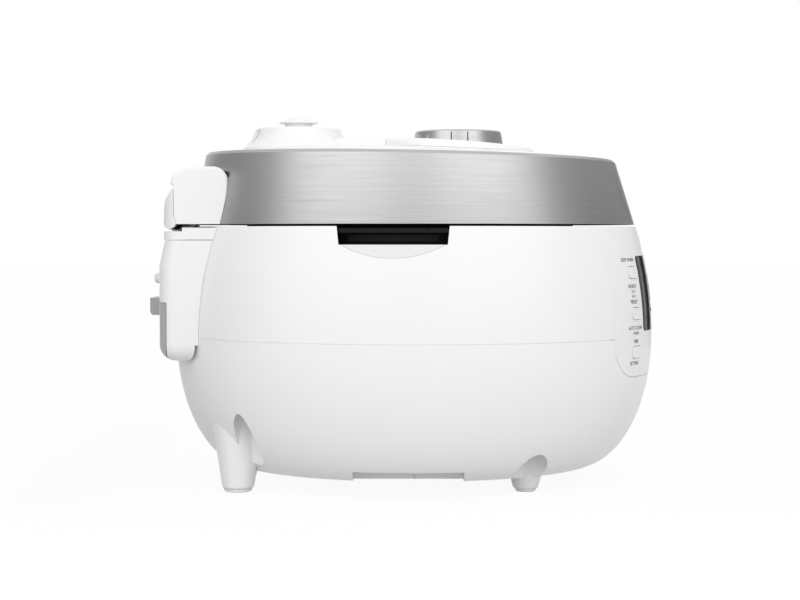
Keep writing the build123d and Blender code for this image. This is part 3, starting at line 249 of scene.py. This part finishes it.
def scoopedFinish(name):  # the white wall, with painted shade where the finger scoops go under its surface and a darker painted line along their edge
    made = Finish(name, specularIORLevel=0.5)
    spot = made.add("ShaderNodeTexCoord", out="Object")
    parts = made.add("ShaderNodeSeparateXYZ", sockets={0: spot}).socket.node.outputs
    x, y, z = (Wire(made, part) for part in parts)
    radius = scoopSet["wallRadius"]
    rise = z - scoopSet["seam"]
    drop = radius ** 2 - rise * rise
    half = drop.calc("SQRT", drop) + (scoopSet["halfLength"] - radius)
    along = (y - scoopSet["bodyY"]) / half
    across = x / (half * scoopSet["widthRatio"])
    inside = 1 - along * along - across * across     # 0 on the wall, more below it
    place = (z > scoopSet["low"]) * (z < scoopSet["high"]) * (inside < 0.2)
    # painted shade inside the scoops, and a painted line of darker shade along their edge
    paintedScoopShade = (inside > scoopSet["edge"]) * place
    line = paintedScoopShade * (inside < scoopSet["depth"])
    white = made.blend(made.noise(9, 3), grey(0.892), grey(0.905))
    made.set("baseColor", made.blend(line, made.blend(paintedScoopShade, white, scoopSet["matt"]), scoopSet["line"]))
    made.set("roughness", made.spread(made.noise(55, 4), 0.3, 0.7, 0.305, 0.335))
    made.bump(made.noise(1400, 2), 0.012, 0.0002)
    return made.material


knobMiddle = [(a + b) / 2 for a, b in zip(*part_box("lock_knob"))]
potMiddle = [(a + b) / 2 for a, b in zip(*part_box("inner_pot"))]
finishes = {
    "shellWhite": plasticFinish("shellWhite", grey(0.905), 0.32),
    "panelWhite": plasticFinish("panelWhite", grey(0.905), 0.32, 0.012, 0.0),
    "housingWhite": scoopedFinish("housingWhite"),
    "lidWhite": plasticFinish("lidWhite", grey(0.91), 0.28),
    "trimWhite": plasticFinish("trimWhite", grey(0.87), 0.36),
    "trimGrey": plasticFinish("trimGrey", grey(0.42), 0.38),
    "dishGrey": plasticFinish("dishGrey", grey(0.46), 0.30),
    "frameBlack": plasticFinish("frameBlack", grey(0.009), 0.60, 0.05, 0.0003, 0.14),
    "windowBlack": plasticFinish("windowBlack", grey(0.012), 0.12, 0.0, 0.0002, 0.3),
    # the band's steel carries painted shade towards its foot
    "bandSteel": brushedFinish("bandSteel", grey(0.548), 0.40, (26, 26, 1300), 0.13, 0.0004,
                               (0.182, 0.222, 0.135)),
    "knobSilver": brushedFinish("knobSilver", grey(0.56), 0.36, (30, 30, 900), 0.12),
    "potDark": speckledFinish("potDark", grey(0.030), grey(0.20), 0.38),
    "castAluminium": turnedFinish("castAluminium", grey(0.60), 0.40, potMiddle, 0.0016),
    "castDark": plasticFinish("castDark", grey(0.004), 0.60, 0.10, 0.0003, 0.08),
    "steel": brushedFinish("steel", grey(0.60), 0.28, (60, 700, 700), 0.10),
    "rubberGrey": plasticFinish("rubberGrey", grey(0.55), 0.62, 0.05),
    "rubberBlack": plasticFinish("rubberBlack", grey(0.02), 0.7, 0.06),
    "boardGreen": boardFinish("boardGreen"),
    "copper": brushedFinish("copper", (0.62, 0.28, 0.14, 1), 0.3, (300, 300, 300), 0.1),
    "printGrey": plasticFinish("printGrey", grey(0.10), 0.5, 0.0, 0.0),
    "printPale": plasticFinish("printPale", grey(0.55), 0.5, 0.0, 0.0),
    "segmentDark": plasticFinish("segmentDark", grey(0.045), 0.3, 0.0, 0.0, 0.3),
    "chipBlack": plasticFinish("chipBlack", grey(0.02), 0.45, 0.0, 0.0),
    "lineDark": plasticFinish("lineDark", grey(0.10), 0.5, 0.0, 0.0, 0.2),
    "linePale": plasticFinish("linePale", grey(0.85), 0.4, 0.0, 0.0),
}
wears = {
    "shellWhite": ["base_shell", "bottom_plate", "rear_cover", "hinge_housing", "lid_hinge_cover"],
    "housingWhite": ["upper_housing"],
    "panelWhite": ["front_panel", "key_left_1", "key_left_2", "key_left_3", "key_right_1", "key_right_2",
                   "key_right_3"],
    "lidWhite": ["lid_cover", "lid_bridge", "dial_plate", "steam_cap", "pressure_weight"],
    "trimWhite": ["lid_rear_cover", "foot_pads"],
    "trimGrey": ["display_module", "key_switches", "knob_bush", "solenoid_plunger"],
    "dishGrey": ["dew_dish"],
    "frameBlack": ["top_frame", "lid_base"],
    "windowBlack": ["display_window"],
    "bandSteel": ["lid_band"],
    "knobSilver": ["lock_knob"],
    "potDark": ["inner_pot"],
    "castAluminium": ["heating_plate", "pressure_plate", "sensor_cap"],
    "castDark": ["lock_ring"],
    "steel": ["pot_well", "warm_band", "heater_element", "sensor_bracket", "sensor_spring", "hinge_pin",
              "hinge_spring", "inner_cover", "lock_shaft", "base_screws", "bottom_screws", "plate_screws",
              "steam_nozzle", "safety_valve", "exhaust_solenoid", "thermal_fuse"],
    "rubberGrey": ["lid_gasket"],
    "rubberBlack": ["cord_gland"],
    "boardGreen": ["control_board", "power_board"],
    "copper": ["transformer"],
}
for finish, pieces in wears.items():
    for piece in pieces:
        mesh = nodes[piece].data
        mesh.materials.clear()
        mesh.materials.append(finishes[finish])
bare = sorted(set(nodes) - {piece for pieces in wears.values() for piece in pieces})
print("finishes on", len(nodes) - len(bare), "pieces; without:", bare)


class Growth(Tree):  # a geometry tree with named sizes, turned into a plain mesh
    def __init__(self, name, sizes):
        super().__init__(bpy.data.node_groups.new(name, "GeometryNodeTree"))
        self.name = name
        self.sizes = {}
        panel = self.tree.interface
        panel.new_socket("Geometry", in_out="INPUT", socket_type="NodeSocketGeometry")
        panel.new_socket("Geometry", in_out="OUTPUT", socket_type="NodeSocketGeometry")
        for key, value in sizes.items():
            kind = "NodeSocketInt" if isinstance(value, int) else "NodeSocketFloat"
            made = panel.new_socket(key, in_out="INPUT", socket_type=kind)
            self.sizes[made.identifier] = value
        self.given = self.tree.nodes.new("NodeGroupInput")

    def size(self, key):
        return Wire(self, self.given.outputs[key])

    def point(self, x=0.0, y=0.0, z=0.0):
        return self.add("ShaderNodeCombineXYZ", sockets={0: x, 1: y, 2: z})

    def moved(self, shape, place=(0, 0, 0), turn=(0, 0, 0)):
        return self.add("GeometryNodeTransform", sockets={
            "Geometry": shape, "Translation": place, "Rotation": turn})

    def box(self, x, y, z):
        return self.add("GeometryNodeMeshCube", sockets={"Size": self.point(x, y, z)})

    def rod(self, radius, depth, sides=32):
        return self.add("GeometryNodeMeshCylinder", sockets={
            "Vertices": sides, "Radius": radius, "Depth": depth})

    def bar(self, width, height):
        return self.add("GeometryNodeCurvePrimitiveQuadrilateral", sockets={"Width": width, "Height": height})

    def arc(self, radius, start, sweep, steps):
        return self.add("GeometryNodeCurveArc", sockets={
            "Resolution": steps, "Radius": radius, "Start Angle": math.radians(start),
            "Sweep Angle": math.radians(sweep)})

    def joined(self, shapes):
        return self.add("GeometryNodeJoinGeometry", sockets={"Geometry": shapes})

    def swept(self, path, outline):
        return self.add("GeometryNodeCurveToMesh", sockets={
            "Curve": path, "Profile Curve": outline, "Fill Caps": True})

    def strewn(self, points, shape, turn=(0, 0, 0)):
        return self.add("GeometryNodeInstanceOnPoints", sockets={
            "Points": points, "Instance": shape, "Rotation": turn})

    def grown(self, shape, finish, places=((0, 0, 0),)):
        whole = self.add("GeometryNodeRealizeInstances", sockets={"Geometry": shape})
        worn = self.add("GeometryNodeSetMaterial", sockets={"Geometry": whole, "Material": finishes[finish]})
        self.join(self.tree.nodes.new("NodeGroupOutput").inputs[0], worn)
        seeds = bpy.data.meshes.new(self.name + "Seeds")
        seeds.from_pydata(list(places), [], [])
        holder = bpy.data.objects.new(self.name + "Seeds", seeds)
        stage.collection.objects.link(holder)
        live = holder.modifiers.new(self.name, "NODES")
        live.node_group = self.tree
        for key, value in self.sizes.items():
            live[key] = value
        plain = bpy.data.meshes.new_from_object(holder.evaluated_get(bpy.context.evaluated_depsgraph_get()))
        bpy.data.objects.remove(holder)
        return placed(self.name, plain)


def placed(name, mesh):
    mesh.name = name
    piece = bpy.data.objects.new(name, mesh)
    stage.collection.objects.link(piece)
    return piece


def fitted(piece, body, slot, *replaced):
    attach(piece, body)
    if replaced:
        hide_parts(*replaced)
    print("piece:", piece.name, len(piece.data.polygons), "faces on", body)


mm = 0.001
screwSet = {
    "headRadius": 4.0 * mm, "faceRadius": 3.3 * mm, "headThick": 2.4 * mm,
    "shankRadius": 1.6 * mm, "shankLength": 9.0 * mm,
    "crossLength": 4.2 * mm, "crossWidth": 0.9 * mm, "crossDepth": 1.4 * mm, "crossTurn": 0.4,
    "overlap": 0.4 * mm,
}
screwApart = 12 * mm     # corners nearer than this belong to one screw


def seatsOf(node, heads):  # screw axes and the level of their seats, read from the CAD screws
    mesh = nodes[node].data
    spots = {}
    for corner in mesh.vertices:
        spot = min(spots, key=lambda s: (Vector(s) - corner.co.xy).length, default=None)
        if spot is None or (Vector(spot) - corner.co.xy).length > screwApart:
            spots[tuple(corner.co.xy)] = []
            spot = tuple(corner.co.xy)
        spots[spot].append(corner.co.copy())
    seats = []
    for corners in spots.values():
        low = [min(c[i] for c in corners) for i in range(3)]
        high = [max(c[i] for c in corners) for i in range(3)]
        seats.append(((low[0] + high[0]) / 2, (low[1] + high[1]) / 2, low[2] + heads))
    return seats


def makeScrews(name, node, body):
    grow = Growth(name, screwSet)
    length = grow.size("shankLength")
    thick = grow.size("headThick")
    head = grow.add("GeometryNodeMeshCone", sockets={
        "Vertices": 36, "Radius Top": grow.size("headRadius"), "Radius Bottom": grow.size("faceRadius"),
        "Depth": thick})
    head = grow.moved(head, grow.point(z=0.0 - thick))
    overlap = grow.size("overlap")
    shank = grow.moved(grow.rod(grow.size("shankRadius"), length + overlap, 20),
                       grow.point(z=(length - overlap) * 0.5))
    whole = grow.add("GeometryNodeMeshBoolean", {"operation": "UNION"}, {"Mesh 2": [head, shank]})
    arm = grow.box(grow.size("crossLength"), grow.size("crossWidth"), grow.size("crossDepth") * 2)
    turns = (screwSet["crossTurn"], screwSet["crossTurn"] + math.pi / 2)
    cross = [grow.moved(arm, grow.point(z=0.0 - thick), (0, 0, turn)) for turn in turns]
    whole = grow.add("GeometryNodeMeshBoolean", {"operation": "DIFFERENCE"},
                     {"Mesh 1": whole, "Mesh 2": cross})
    screws = grow.grown(grow.strewn(grow.size("Geometry"), whole), "steel",
                        seatsOf(node, screwSet["headThick"]))
    fitted(screws, body, "steel", node)


makeScrews("baseScrews", "base_screws", "base")
makeScrews("bottomScrews", "bottom_screws", "base")
makeScrews("plateScrews", "plate_screws", "lid")

springSet = {
    "sensorCoil": {"node": "sensor_spring", "body": "base", "wire": 0.6 * mm, "turns": 6.5,
                   "turn": (0, 0, 0), "pressedBy": "sensor"},
    "hingeCoil": {"node": "hinge_spring", "body": "base", "wire": 0.58 * mm, "turns": 17.0,
                  "turn": (0, math.pi / 2, 0), "pressedBy": None},
}


def makeSpring(name, plan):
    low, high = (Vector(corner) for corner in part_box(plan["node"]))
    upright = plan["turn"] == (0, 0, 0)
    length = (high.z - low.z if upright else high.x - low.x) - 2 * plan["wire"]
    radius = (high.y - low.y) / 2 - plan["wire"]
    grow = Growth(name, {"radius": radius, "wire": plan["wire"], "length": length, "turns": plan["turns"]})
    line = grow.add("GeometryNodeCurveSpiral", sockets={
        "Resolution": 24, "Rotations": grow.size("turns"), "Start Radius": grow.size("radius"),
        "End Radius": grow.size("radius"), "Height": grow.size("length")})
    ring = grow.add("GeometryNodeCurvePrimitiveCircle", sockets={
        "Resolution": 8, "Radius": grow.size("wire")})
    coil = grow.swept(line, ring)
    middle = (low + high) / 2
    start = middle - Vector((0, 0, length / 2) if upright else (length / 2, 0, 0))
    coil = grow.moved(coil, tuple(start), plan["turn"])
    piece = grow.grown(coil, "steel")
    if plan["pressedBy"]:                # baked in place and left attached to no body
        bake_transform(piece)
        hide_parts(plan["node"])
        print("piece:", name, len(piece.data.polygons), "faces from", plan["body"], "to", plan["pressedBy"])
    else:
        fitted(piece, plan["body"], "steel", plan["node"])


for name, plan in springSet.items():
    makeSpring(name, plan)

boardSet = {
    "seed": 7, "gap": 5.5 * mm, "edge": 4 * mm, "chip": (4.0 * mm, 2.6 * mm, 2.6 * mm), "lift": 1.2 * mm,
    "smallest": 0.55, "crowding": 40000.0,
}


def makeBoardParts():  # small chips strewn on the power board, clear of the transformer
    low, high = (Vector(corner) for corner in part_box("power_board"))
    coilLow, coilHigh = (Vector(corner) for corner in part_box("transformer"))
    edge = boardSet["edge"]
    grow = Growth("boardParts", {"gap": boardSet["gap"], "seed": boardSet["seed"]})
    fields = []
    for x0, x1 in ((low.x + edge, coilLow.x - edge), (coilHigh.x + edge, high.x - edge)):
        sheet = grow.add("GeometryNodeMeshGrid", sockets={
            "Size X": x1 - x0, "Size Y": high.y - low.y - 4 * edge, "Vertices X": 2, "Vertices Y": 2})
        fields.append(grow.moved(sheet, ((x0 + x1) / 2, (low.y + high.y) / 2, high.z + boardSet["lift"])))
    points = grow.add("GeometryNodeDistributePointsOnFaces", {"distribute_method": "POISSON"}, {
        "Mesh": grow.joined(fields), "Distance Min": grow.size("gap"), "Density Max": boardSet["crowding"],
        "Seed": grow.size("seed")})
    chip = grow.box(*boardSet["chip"])
    wide = grow.add("FunctionNodeRandomValue", {"data_type": "FLOAT"}, {
        "Min": boardSet["smallest"], "Max": 1.0, "Seed": grow.size("seed")}, out=1)
    parts = grow.add("GeometryNodeInstanceOnPoints", sockets={
        "Points": points, "Instance": chip, "Scale": wide})
    fitted(grow.grown(parts, "chipBlack"), "base", "frame_black")


makeBoardParts()


knobLineSet = {
    "radius": 31.75 * mm, "lean": math.atan(2.4 / 13), "thick": 1.0 * mm, "lift": 0.08 * mm,
    "knobDark": {"angles": (10.6, -10.6, 169.4, 190.6), "width": 0.62 * mm, "height": 9.6 * mm,
                 "proud": 0.45 * mm, "finish": "lineDark"},      # dark lines painted as shade along the sides of the bar, which stands proud
    "knobPale": {"angles": (135.3, 118.5, 315.3, 298.5), "width": 0.55 * mm, "height": 6.2 * mm,
                 "proud": 0.0, "finish": "linePale"},            # pale lines painted as highlights on facet edges, in pairs
}


def makeKnobLines(name):
    plan = knobLineSet[name]
    grow = Growth(name, {"width": plan["width"], "height": plan["height"], "thick": knobLineSet["thick"]})
    line = grow.box(grow.size("thick"), grow.size("width"), grow.size("height"))
    line = grow.moved(line, (0, 0, 0), (0, -knobLineSet["lean"], 0))
    spot = grow.add("GeometryNodeInputPosition")
    turn = grow.add("FunctionNodeAlignRotationToVector", {"axis": "X"}, {"Vector": spot})
    lines = grow.strewn(grow.size("Geometry"), line, turn)
    lines = grow.moved(lines, tuple(knobMiddle))
    reach = knobLineSet["radius"] - knobLineSet["thick"] / 2 + knobLineSet["lift"] + plan["proud"]
    places = []
    for angle in plan["angles"]:
        turn = math.radians(angle)
        places.append((reach * math.cos(turn), reach * math.sin(turn), 0))
    fitted(grow.grown(lines, plan["finish"], places), "knob", "trim_grey")


makeKnobLines("knobDark")
makeKnobLines("knobPale")

seamStripSet = {
    "halfLength": 170.0 * mm, "halfWidth": 140.0 * mm, "middle": (0, -8.95 * mm, 104.0 * mm),
    "under": 0.18 * mm, "thick": 1.0 * mm, "height": 0.38 * mm,
    "arcs": (-50.0, 118.0), "sweep": 112.0, "steps": 120,       # each side, from the panel to the rear column
}


def makeSeamStrip():  # white lip that closes the joint between the two shells just under their faces
    plan = seamStripSet
    grow = Growth("seamStrip", {"thick": plan["thick"], "height": plan["height"], "steps": plan["steps"]})
    sides = grow.joined([grow.arc(1.0, start, plan["sweep"], grow.size("steps")) for start in plan["arcs"]])
    inset = plan["under"] + plan["thick"] / 2
    path = grow.add("GeometryNodeTransform", sockets={
        "Geometry": sides, "Scale": (plan["halfWidth"] - inset, plan["halfLength"] - inset, 1.0)})
    strip = grow.swept(path, grow.bar(grow.size("thick"), grow.size("height")))
    fitted(grow.grown(grow.moved(strip, plan["middle"]), "panelWhite"), "base", "shell_white")


makeSeamStrip()

potMarkSet = {
    "radius": 96.0 * mm, "width": 0.7 * mm, "thick": 0.12 * mm, "sweep": 11.0, "levels": 5,
    "first": 33.0 * mm, "pitch": 13.0 * mm, "floor": 65.0 * mm, "columns": (70.0, 110.0), "steps": 12,
}


def makePotMarks():  # water level lines on the pot's back wall, one short arc for each level
    grow = Growth("potMarks", {
        "radius": potMarkSet["radius"] - potMarkSet["thick"] / 4, "width": potMarkSet["width"],
        "thick": potMarkSet["thick"], "levels": potMarkSet["levels"], "pitch": potMarkSet["pitch"]})
    sweep = potMarkSet["sweep"]
    arcs = grow.joined([grow.arc(grow.size("radius"), column - sweep / 2, sweep, potMarkSet["steps"])
                        for column in potMarkSet["columns"]])
    mark = grow.swept(arcs, grow.bar(grow.size("thick"), grow.size("width")))
    rows = grow.add("GeometryNodeMeshLine", sockets={
        "Count": grow.size("levels"), "Offset": grow.point(z=grow.size("pitch"))})
    foot = (potMiddle[0], potMiddle[1], potMarkSet["floor"] + potMarkSet["first"])
    marks = grow.moved(grow.strewn(rows, mark), foot)
    fitted(grow.grown(marks, "printPale"), "base", "trim_grey")


makePotMarks()


def skinOf(node):
    mesh = nodes[node].data
    return BVHTree.FromPolygons([v.co for v in mesh.vertices], [list(p.vertices) for p in mesh.polygons])


rayStart = 20 * mm       # how far outside a surface the search for it starts


def laidOn(mesh, skin, middle, out, up, lift):  # a flat mesh goes onto a curved surface
    right = up.cross(out)
    for corner in mesh.vertices:
        start = middle + right * corner.co.x + up * corner.co.y + out * rayStart
        spot, normal, face, reach = skin.ray_cast(start, -out)
        if spot is None:
            raise ValueError("a letter lies beside its surface")
        corner.co = spot + normal * (corner.co.z + lift)
    return mesh


def wordMesh(words, height, thick, bold=0.0):
    letters = bpy.data.curves.new("letters", "FONT")
    letters.body = words
    letters.size = height
    letters.align_x = "CENTER"
    letters.align_y = "CENTER"
    letters.space_line = 0.85
    letters.extrude = thick / 2
    letters.offset = bold * height
    letters.resolution_u = 3
    holder = bpy.data.objects.new("letters", letters)
    stage.collection.objects.link(holder)
    mesh = bpy.data.meshes.new_from_object(holder.evaluated_get(bpy.context.evaluated_depsgraph_get()))
    bpy.data.objects.remove(holder)
    return mesh


def gathered(name, meshes, finish):  # several small meshes in one piece
    heap = bmesh.new()
    for mesh in meshes:
        heap.from_mesh(mesh)
    bmesh.ops.remove_doubles(heap, verts=heap.verts, dist=0.000001)
    whole = bpy.data.meshes.new(name)
    heap.to_mesh(whole)
    heap.free()
    whole.materials.append(finishes[finish])
    return placed(name, whole)


labelSet = {
    "thick": 0.08 * mm, "lift": 0.02 * mm, "size": 3.5 * mm, "small": 2.8 * mm, "bold": 0.015,
    "fromMiddle": 64 * mm,
    "left": [("KEEP WARM", 157.0, "size"), ("REHEAT", 139.0, "size"), ("12 H", 135.4, "small"),
             ("PRESET", 128.4, "size"), ("24 H", 132.2, "small"), ("AUTO CLEAN", 110.6, "size"),
             ("STEAM", 107.0, "small"), ("TIME", 101.4, "size"), ("SETTING", 86.4, "size")],
    "right": [("MENU", 157.0, "size"), ("RICE", 139.0, "size"), ("SOUP", 135.4, "small"),
              ("PRESSURE", 128.4, "size"), ("SLOW COOK", 110.6, "size"), ("LOW", 107.0, "small"),
              ("START", 101.4, "size"), ("CANCEL", 86.4, "size")],
}


def makePanelWords():
    skin = skinOf("front_panel")
    words = []
    for side, rows in ((-1, labelSet["left"]), (1, labelSet["right"])):
        for text, z, height in rows:
            start = Vector((side * labelSet["fromMiddle"], -0.4, z * mm))
            spot, normal, face, reach = skin.ray_cast(start, Vector((0, 1, 0)))
            out = Vector((normal.x, normal.y, 0)).normalized()
            mesh = wordMesh(text, labelSet[height], labelSet["thick"], labelSet["bold"])
            words.append(laidOn(mesh, skin, spot, out, Vector((0, 0, 1)), labelSet["lift"]))
    fitted(gathered("panelWords", words, "printGrey"), "base", "trim_grey")


makePanelWords()

potNumberSet = {
    "size": 6.5 * mm, "thick": 0.12 * mm, "lift": 0.02 * mm, "angles": (81.0, 99.0), "reach": 80 * mm,
}


def makePotNumbers():
    skin = skinOf("inner_pot")
    words = []
    for angle in potNumberSet["angles"]:
        out = Vector((-math.cos(math.radians(angle)), -math.sin(math.radians(angle)), 0))
        for level in range(potMarkSet["levels"]):
            z = potMarkSet["floor"] + potMarkSet["first"] + level * potMarkSet["pitch"]
            middle = Vector((potMiddle[0], potMiddle[1], z)) - out * potNumberSet["reach"]
            mesh = wordMesh(str(2 * level + 2), potNumberSet["size"], potNumberSet["thick"])
            words.append(laidOn(mesh, skin, middle, out, Vector((0, 0, 1)), potNumberSet["lift"]))
    fitted(gathered("potNumbers", words, "printPale"), "base", "trim_grey")


makePotNumbers()

dialSet = {
    "thick": 0.10 * mm, "lift": 0.02 * mm, "size": 4.4 * mm, "reach": 42.5 * mm,
    "words": [("OPEN", (-1, 0)), ("LOCK", (0, -1)), ("OPEN", (1, 0))],
}


def makeDialWords():  # where the knob's bar points, lettered round it on the dial plate
    skin = skinOf("dial_plate")
    words = []
    out, up = Vector((0, 0, 1)), Vector((0, 1, 0))
    for text, (x, y) in dialSet["words"]:
        place = Vector(knobMiddle) + Vector((x, y, 0)) * dialSet["reach"]
        mesh = wordMesh(text, dialSet["size"], dialSet["thick"])
        words.append(laidOn(mesh, skin, place, out, up, dialSet["lift"]))
    fitted(gathered("dialWords", words, "printGrey"), "lid", "trim_grey")


makeDialWords()

displaySet = {
    "digit": (9.0 * mm, 17.0 * mm), "bar": 1.9 * mm, "gap": 0.35 * mm, "slant": 0.10, "thick": 0.08 * mm,
    "lift": 0.02 * mm, "places": (-19.5 * mm, -7.0 * mm, 7.0 * mm, 19.5 * mm), "level": 137.5 * mm,
    "words": [("CLOCK", -21.0, 121.5), ("PRESET", 0.0, 121.5), ("WARM", 21.0, 121.5)], "size": 4.2 * mm,
}


def segmentMesh():  # one figure of seven bars, flat in X and Y
    width, height = displaySet["digit"]
    bar, gap = displaySet["bar"], displaySet["gap"]
    w, h = width / 2, height / 2
    ends = [((-w, h), (w, h)), ((w, h), (w, 0)), ((w, 0), (w, -h)), ((-w, -h), (w, -h)), ((-w, 0), (-w, -h)),
            ((-w, h), (-w, 0)), ((-w, 0), (w, 0))]
    corners, faces = [], []
    for first, last in ends:
        a, b = Vector(first), Vector(last)
        along = (b - a).normalized()
        side = Vector((-along.y, along.x)) * bar / 2
        a, b = a + along * gap, b - along * gap
        tip = along * bar / 2
        ring = [a, a + tip - side, b - tip - side, b, b - tip + side, a + tip + side]
        start = len(corners)
        for z in (-displaySet["thick"] / 2, displaySet["thick"] / 2):
            corners += [(c.x + displaySet["slant"] * c.y, c.y, z) for c in ring]
        faces.append([start + i for i in (5, 4, 3, 2, 1, 0)])
        faces.append([start + 6 + i for i in range(6)])
        faces += [[start + i, start + (i + 1) % 6, start + 6 + (i + 1) % 6, start + 6 + i] for i in range(6)]
    mesh = bpy.data.meshes.new("figure")
    mesh.from_pydata(corners, [], faces)
    return mesh


def makeDisplay():
    skin = skinOf("display_window")
    out, up = Vector((0, -1, 0)), Vector((0, 0, 1))
    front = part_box("display_window")[0][1]
    parts = []
    for x in displaySet["places"]:
        parts.append(laidOn(segmentMesh(), skin, Vector((x, front, displaySet["level"])), out, up,
                            displaySet["lift"]))
    for text, x, z in displaySet["words"]:
        mesh = wordMesh(text, displaySet["size"], displaySet["thick"])
        parts.append(laidOn(mesh, skin, Vector((x * mm, front, z * mm)), out, up, displaySet["lift"]))
    fitted(gathered("displayFigures", parts, "segmentDark"), "base", "window_black")


makeDisplay()

lightSet = {
    "worldFill": 0.89,       # what matt surfaces get from all round
    "floorShown": 0.95,      # the floor as the eye sees it
    "floorBounce": 0.66,     # and as a matt wall gets its light back
    "floorGlow": 0.94,       # share of plain white the floor shows; the rest takes the shadow
    "floorHalf": 9.0, "floorBelow": 0.0004,
    "boxes": [               # place, size, power
        ((-1.35, -0.95, 0.95), 1.6, 5.8),
        ((-1.35, 0.95, 0.95), 1.6, 5.8),
    ],
    "cards": [               # place, turn, width and height, level, whether matt surfaces see it too
        ((0.25, -1.1, 0.55), 0.0, (1.7, 1.3), 0.41, False),
        ((0.25, 1.1, 0.55), 0.0, (1.7, 1.3), 0.39, False),
        ((1.25, -0.95, 0.45), -0.9, (0.9, 1.2), 0.04, False),
        ((0.10, 0.235, 0.035), 0.0, (0.5, 0.07), 0.05, True),
        ((0.12, -0.27, 0.05), 0.0, (0.5, 0.10), 0.42, True),
        ((0.02, 0.31, 0.25), 0.0, (0.26, 0.30), 0.28, True),
    ],
}


def shownRay(tree):  # 1 where the eye, a mirror or glass looks
    path = tree.add("ShaderNodeLightPath", out="Is Camera Ray")
    rays = path.socket.node.outputs
    seen = path.calc("MAXIMUM", path, Wire(tree, rays["Is Glossy Ray"]))
    return seen.calc("MAXIMUM", seen, Wire(tree, rays["Is Transmission Ray"]))


def makeWorld():
    world = bpy.data.worlds.new("studio")
    world.use_nodes = True
    stage.world = world
    tree = Tree(world.node_tree)
    fill = tree.tree.nodes["Background"]
    fill.inputs["Color"].default_value = grey(1.0)
    fill.inputs["Strength"].default_value = lightSet["worldFill"]
    white = tree.add("ShaderNodeBackground", sockets={"Color": grey(1.0), "Strength": 1.0})
    both = tree.add("ShaderNodeMixShader", sockets={
        0: shownRay(tree), 1: Wire(tree, fill.outputs[0]), 2: white})
    tree.join(tree.tree.nodes["World Output"].inputs["Surface"], both)


def makeFloor():
    mesh = bpy.data.meshes.new("floor")
    half = lightSet["floorHalf"]
    mesh.from_pydata([(-half, -half, 0), (half, -half, 0), (half, half, 0), (-half, half, 0)], [],
                     [(0, 1, 2, 3)])
    floor = bpy.data.objects.new("floor", mesh)
    floor.location.z = -lightSet["floorBelow"]
    stage.collection.objects.link(floor)
    paint = bpy.data.materials.new("floorWhite")
    paint.use_nodes = True
    tree = Tree(paint.node_tree)
    tree.tree.nodes.remove(tree.tree.nodes["Principled BSDF"])
    eyes = shownRay(tree)
    level = eyes * (lightSet["floorShown"] - lightSet["floorBounce"]) + lightSet["floorBounce"]
    matt = tree.add("ShaderNodeBsdfDiffuse", sockets={"Color": level})
    glow = tree.add("ShaderNodeEmission", sockets={"Color": grey(1.0), "Strength": 1.0})
    both = tree.add("ShaderNodeMixShader", sockets={0: eyes * lightSet["floorGlow"], 1: matt, 2: glow})
    tree.join(tree.tree.nodes["Material Output"].inputs["Surface"], both)
    mesh.materials.append(paint)


def aimed(thing, place, target=(0, 0, 0.12)):
    thing.location = place
    thing.rotation_euler = (Vector(target) - Vector(place)).to_track_quat("-Z", "Y").to_euler()
    stage.collection.objects.link(thing)


def makeLights():
    for number, (place, size, power) in enumerate(lightSet["boxes"]):
        lamp = bpy.data.lights.new(f"softbox{number}", "AREA")
        lamp.shape = "SQUARE"
        lamp.size = size
        lamp.energy = power
        aimed(bpy.data.objects.new(f"softbox{number}", lamp), place)
    for number, (place, turn, (width, height), level, matt) in enumerate(lightSet["cards"]):
        paint = bpy.data.materials.new(f"cardGrey{number}")
        paint.use_nodes = True
        tree = Tree(paint.node_tree)
        tree.tree.nodes.remove(tree.tree.nodes["Principled BSDF"])
        glow = tree.add("ShaderNodeEmission", sockets={"Color": grey(level), "Strength": 1.0})
        tree.join(tree.tree.nodes["Material Output"].inputs["Surface"], glow)
        mesh = bpy.data.meshes.new(f"card{number}")
        w, h = width / 2, height / 2
        mesh.from_pydata([(-w, 0, -h), (w, 0, -h), (w, 0, h), (-w, 0, h)], [], [(0, 1, 2, 3)])
        mesh.materials.append(paint)
        card = bpy.data.objects.new(f"card{number}", mesh)
        card.location = place
        card.rotation_euler.z = turn
        stage.collection.objects.link(card)
        card.visible_camera = False      # a flag beside the picture
        card.visible_diffuse = matt
        card.visible_glossy = not matt
        card.visible_shadow = False
        card.visible_transmission = False


makeWorld()
makeFloor()
makeLights()
print("light:", len(lightSet["boxes"]), "softboxes")
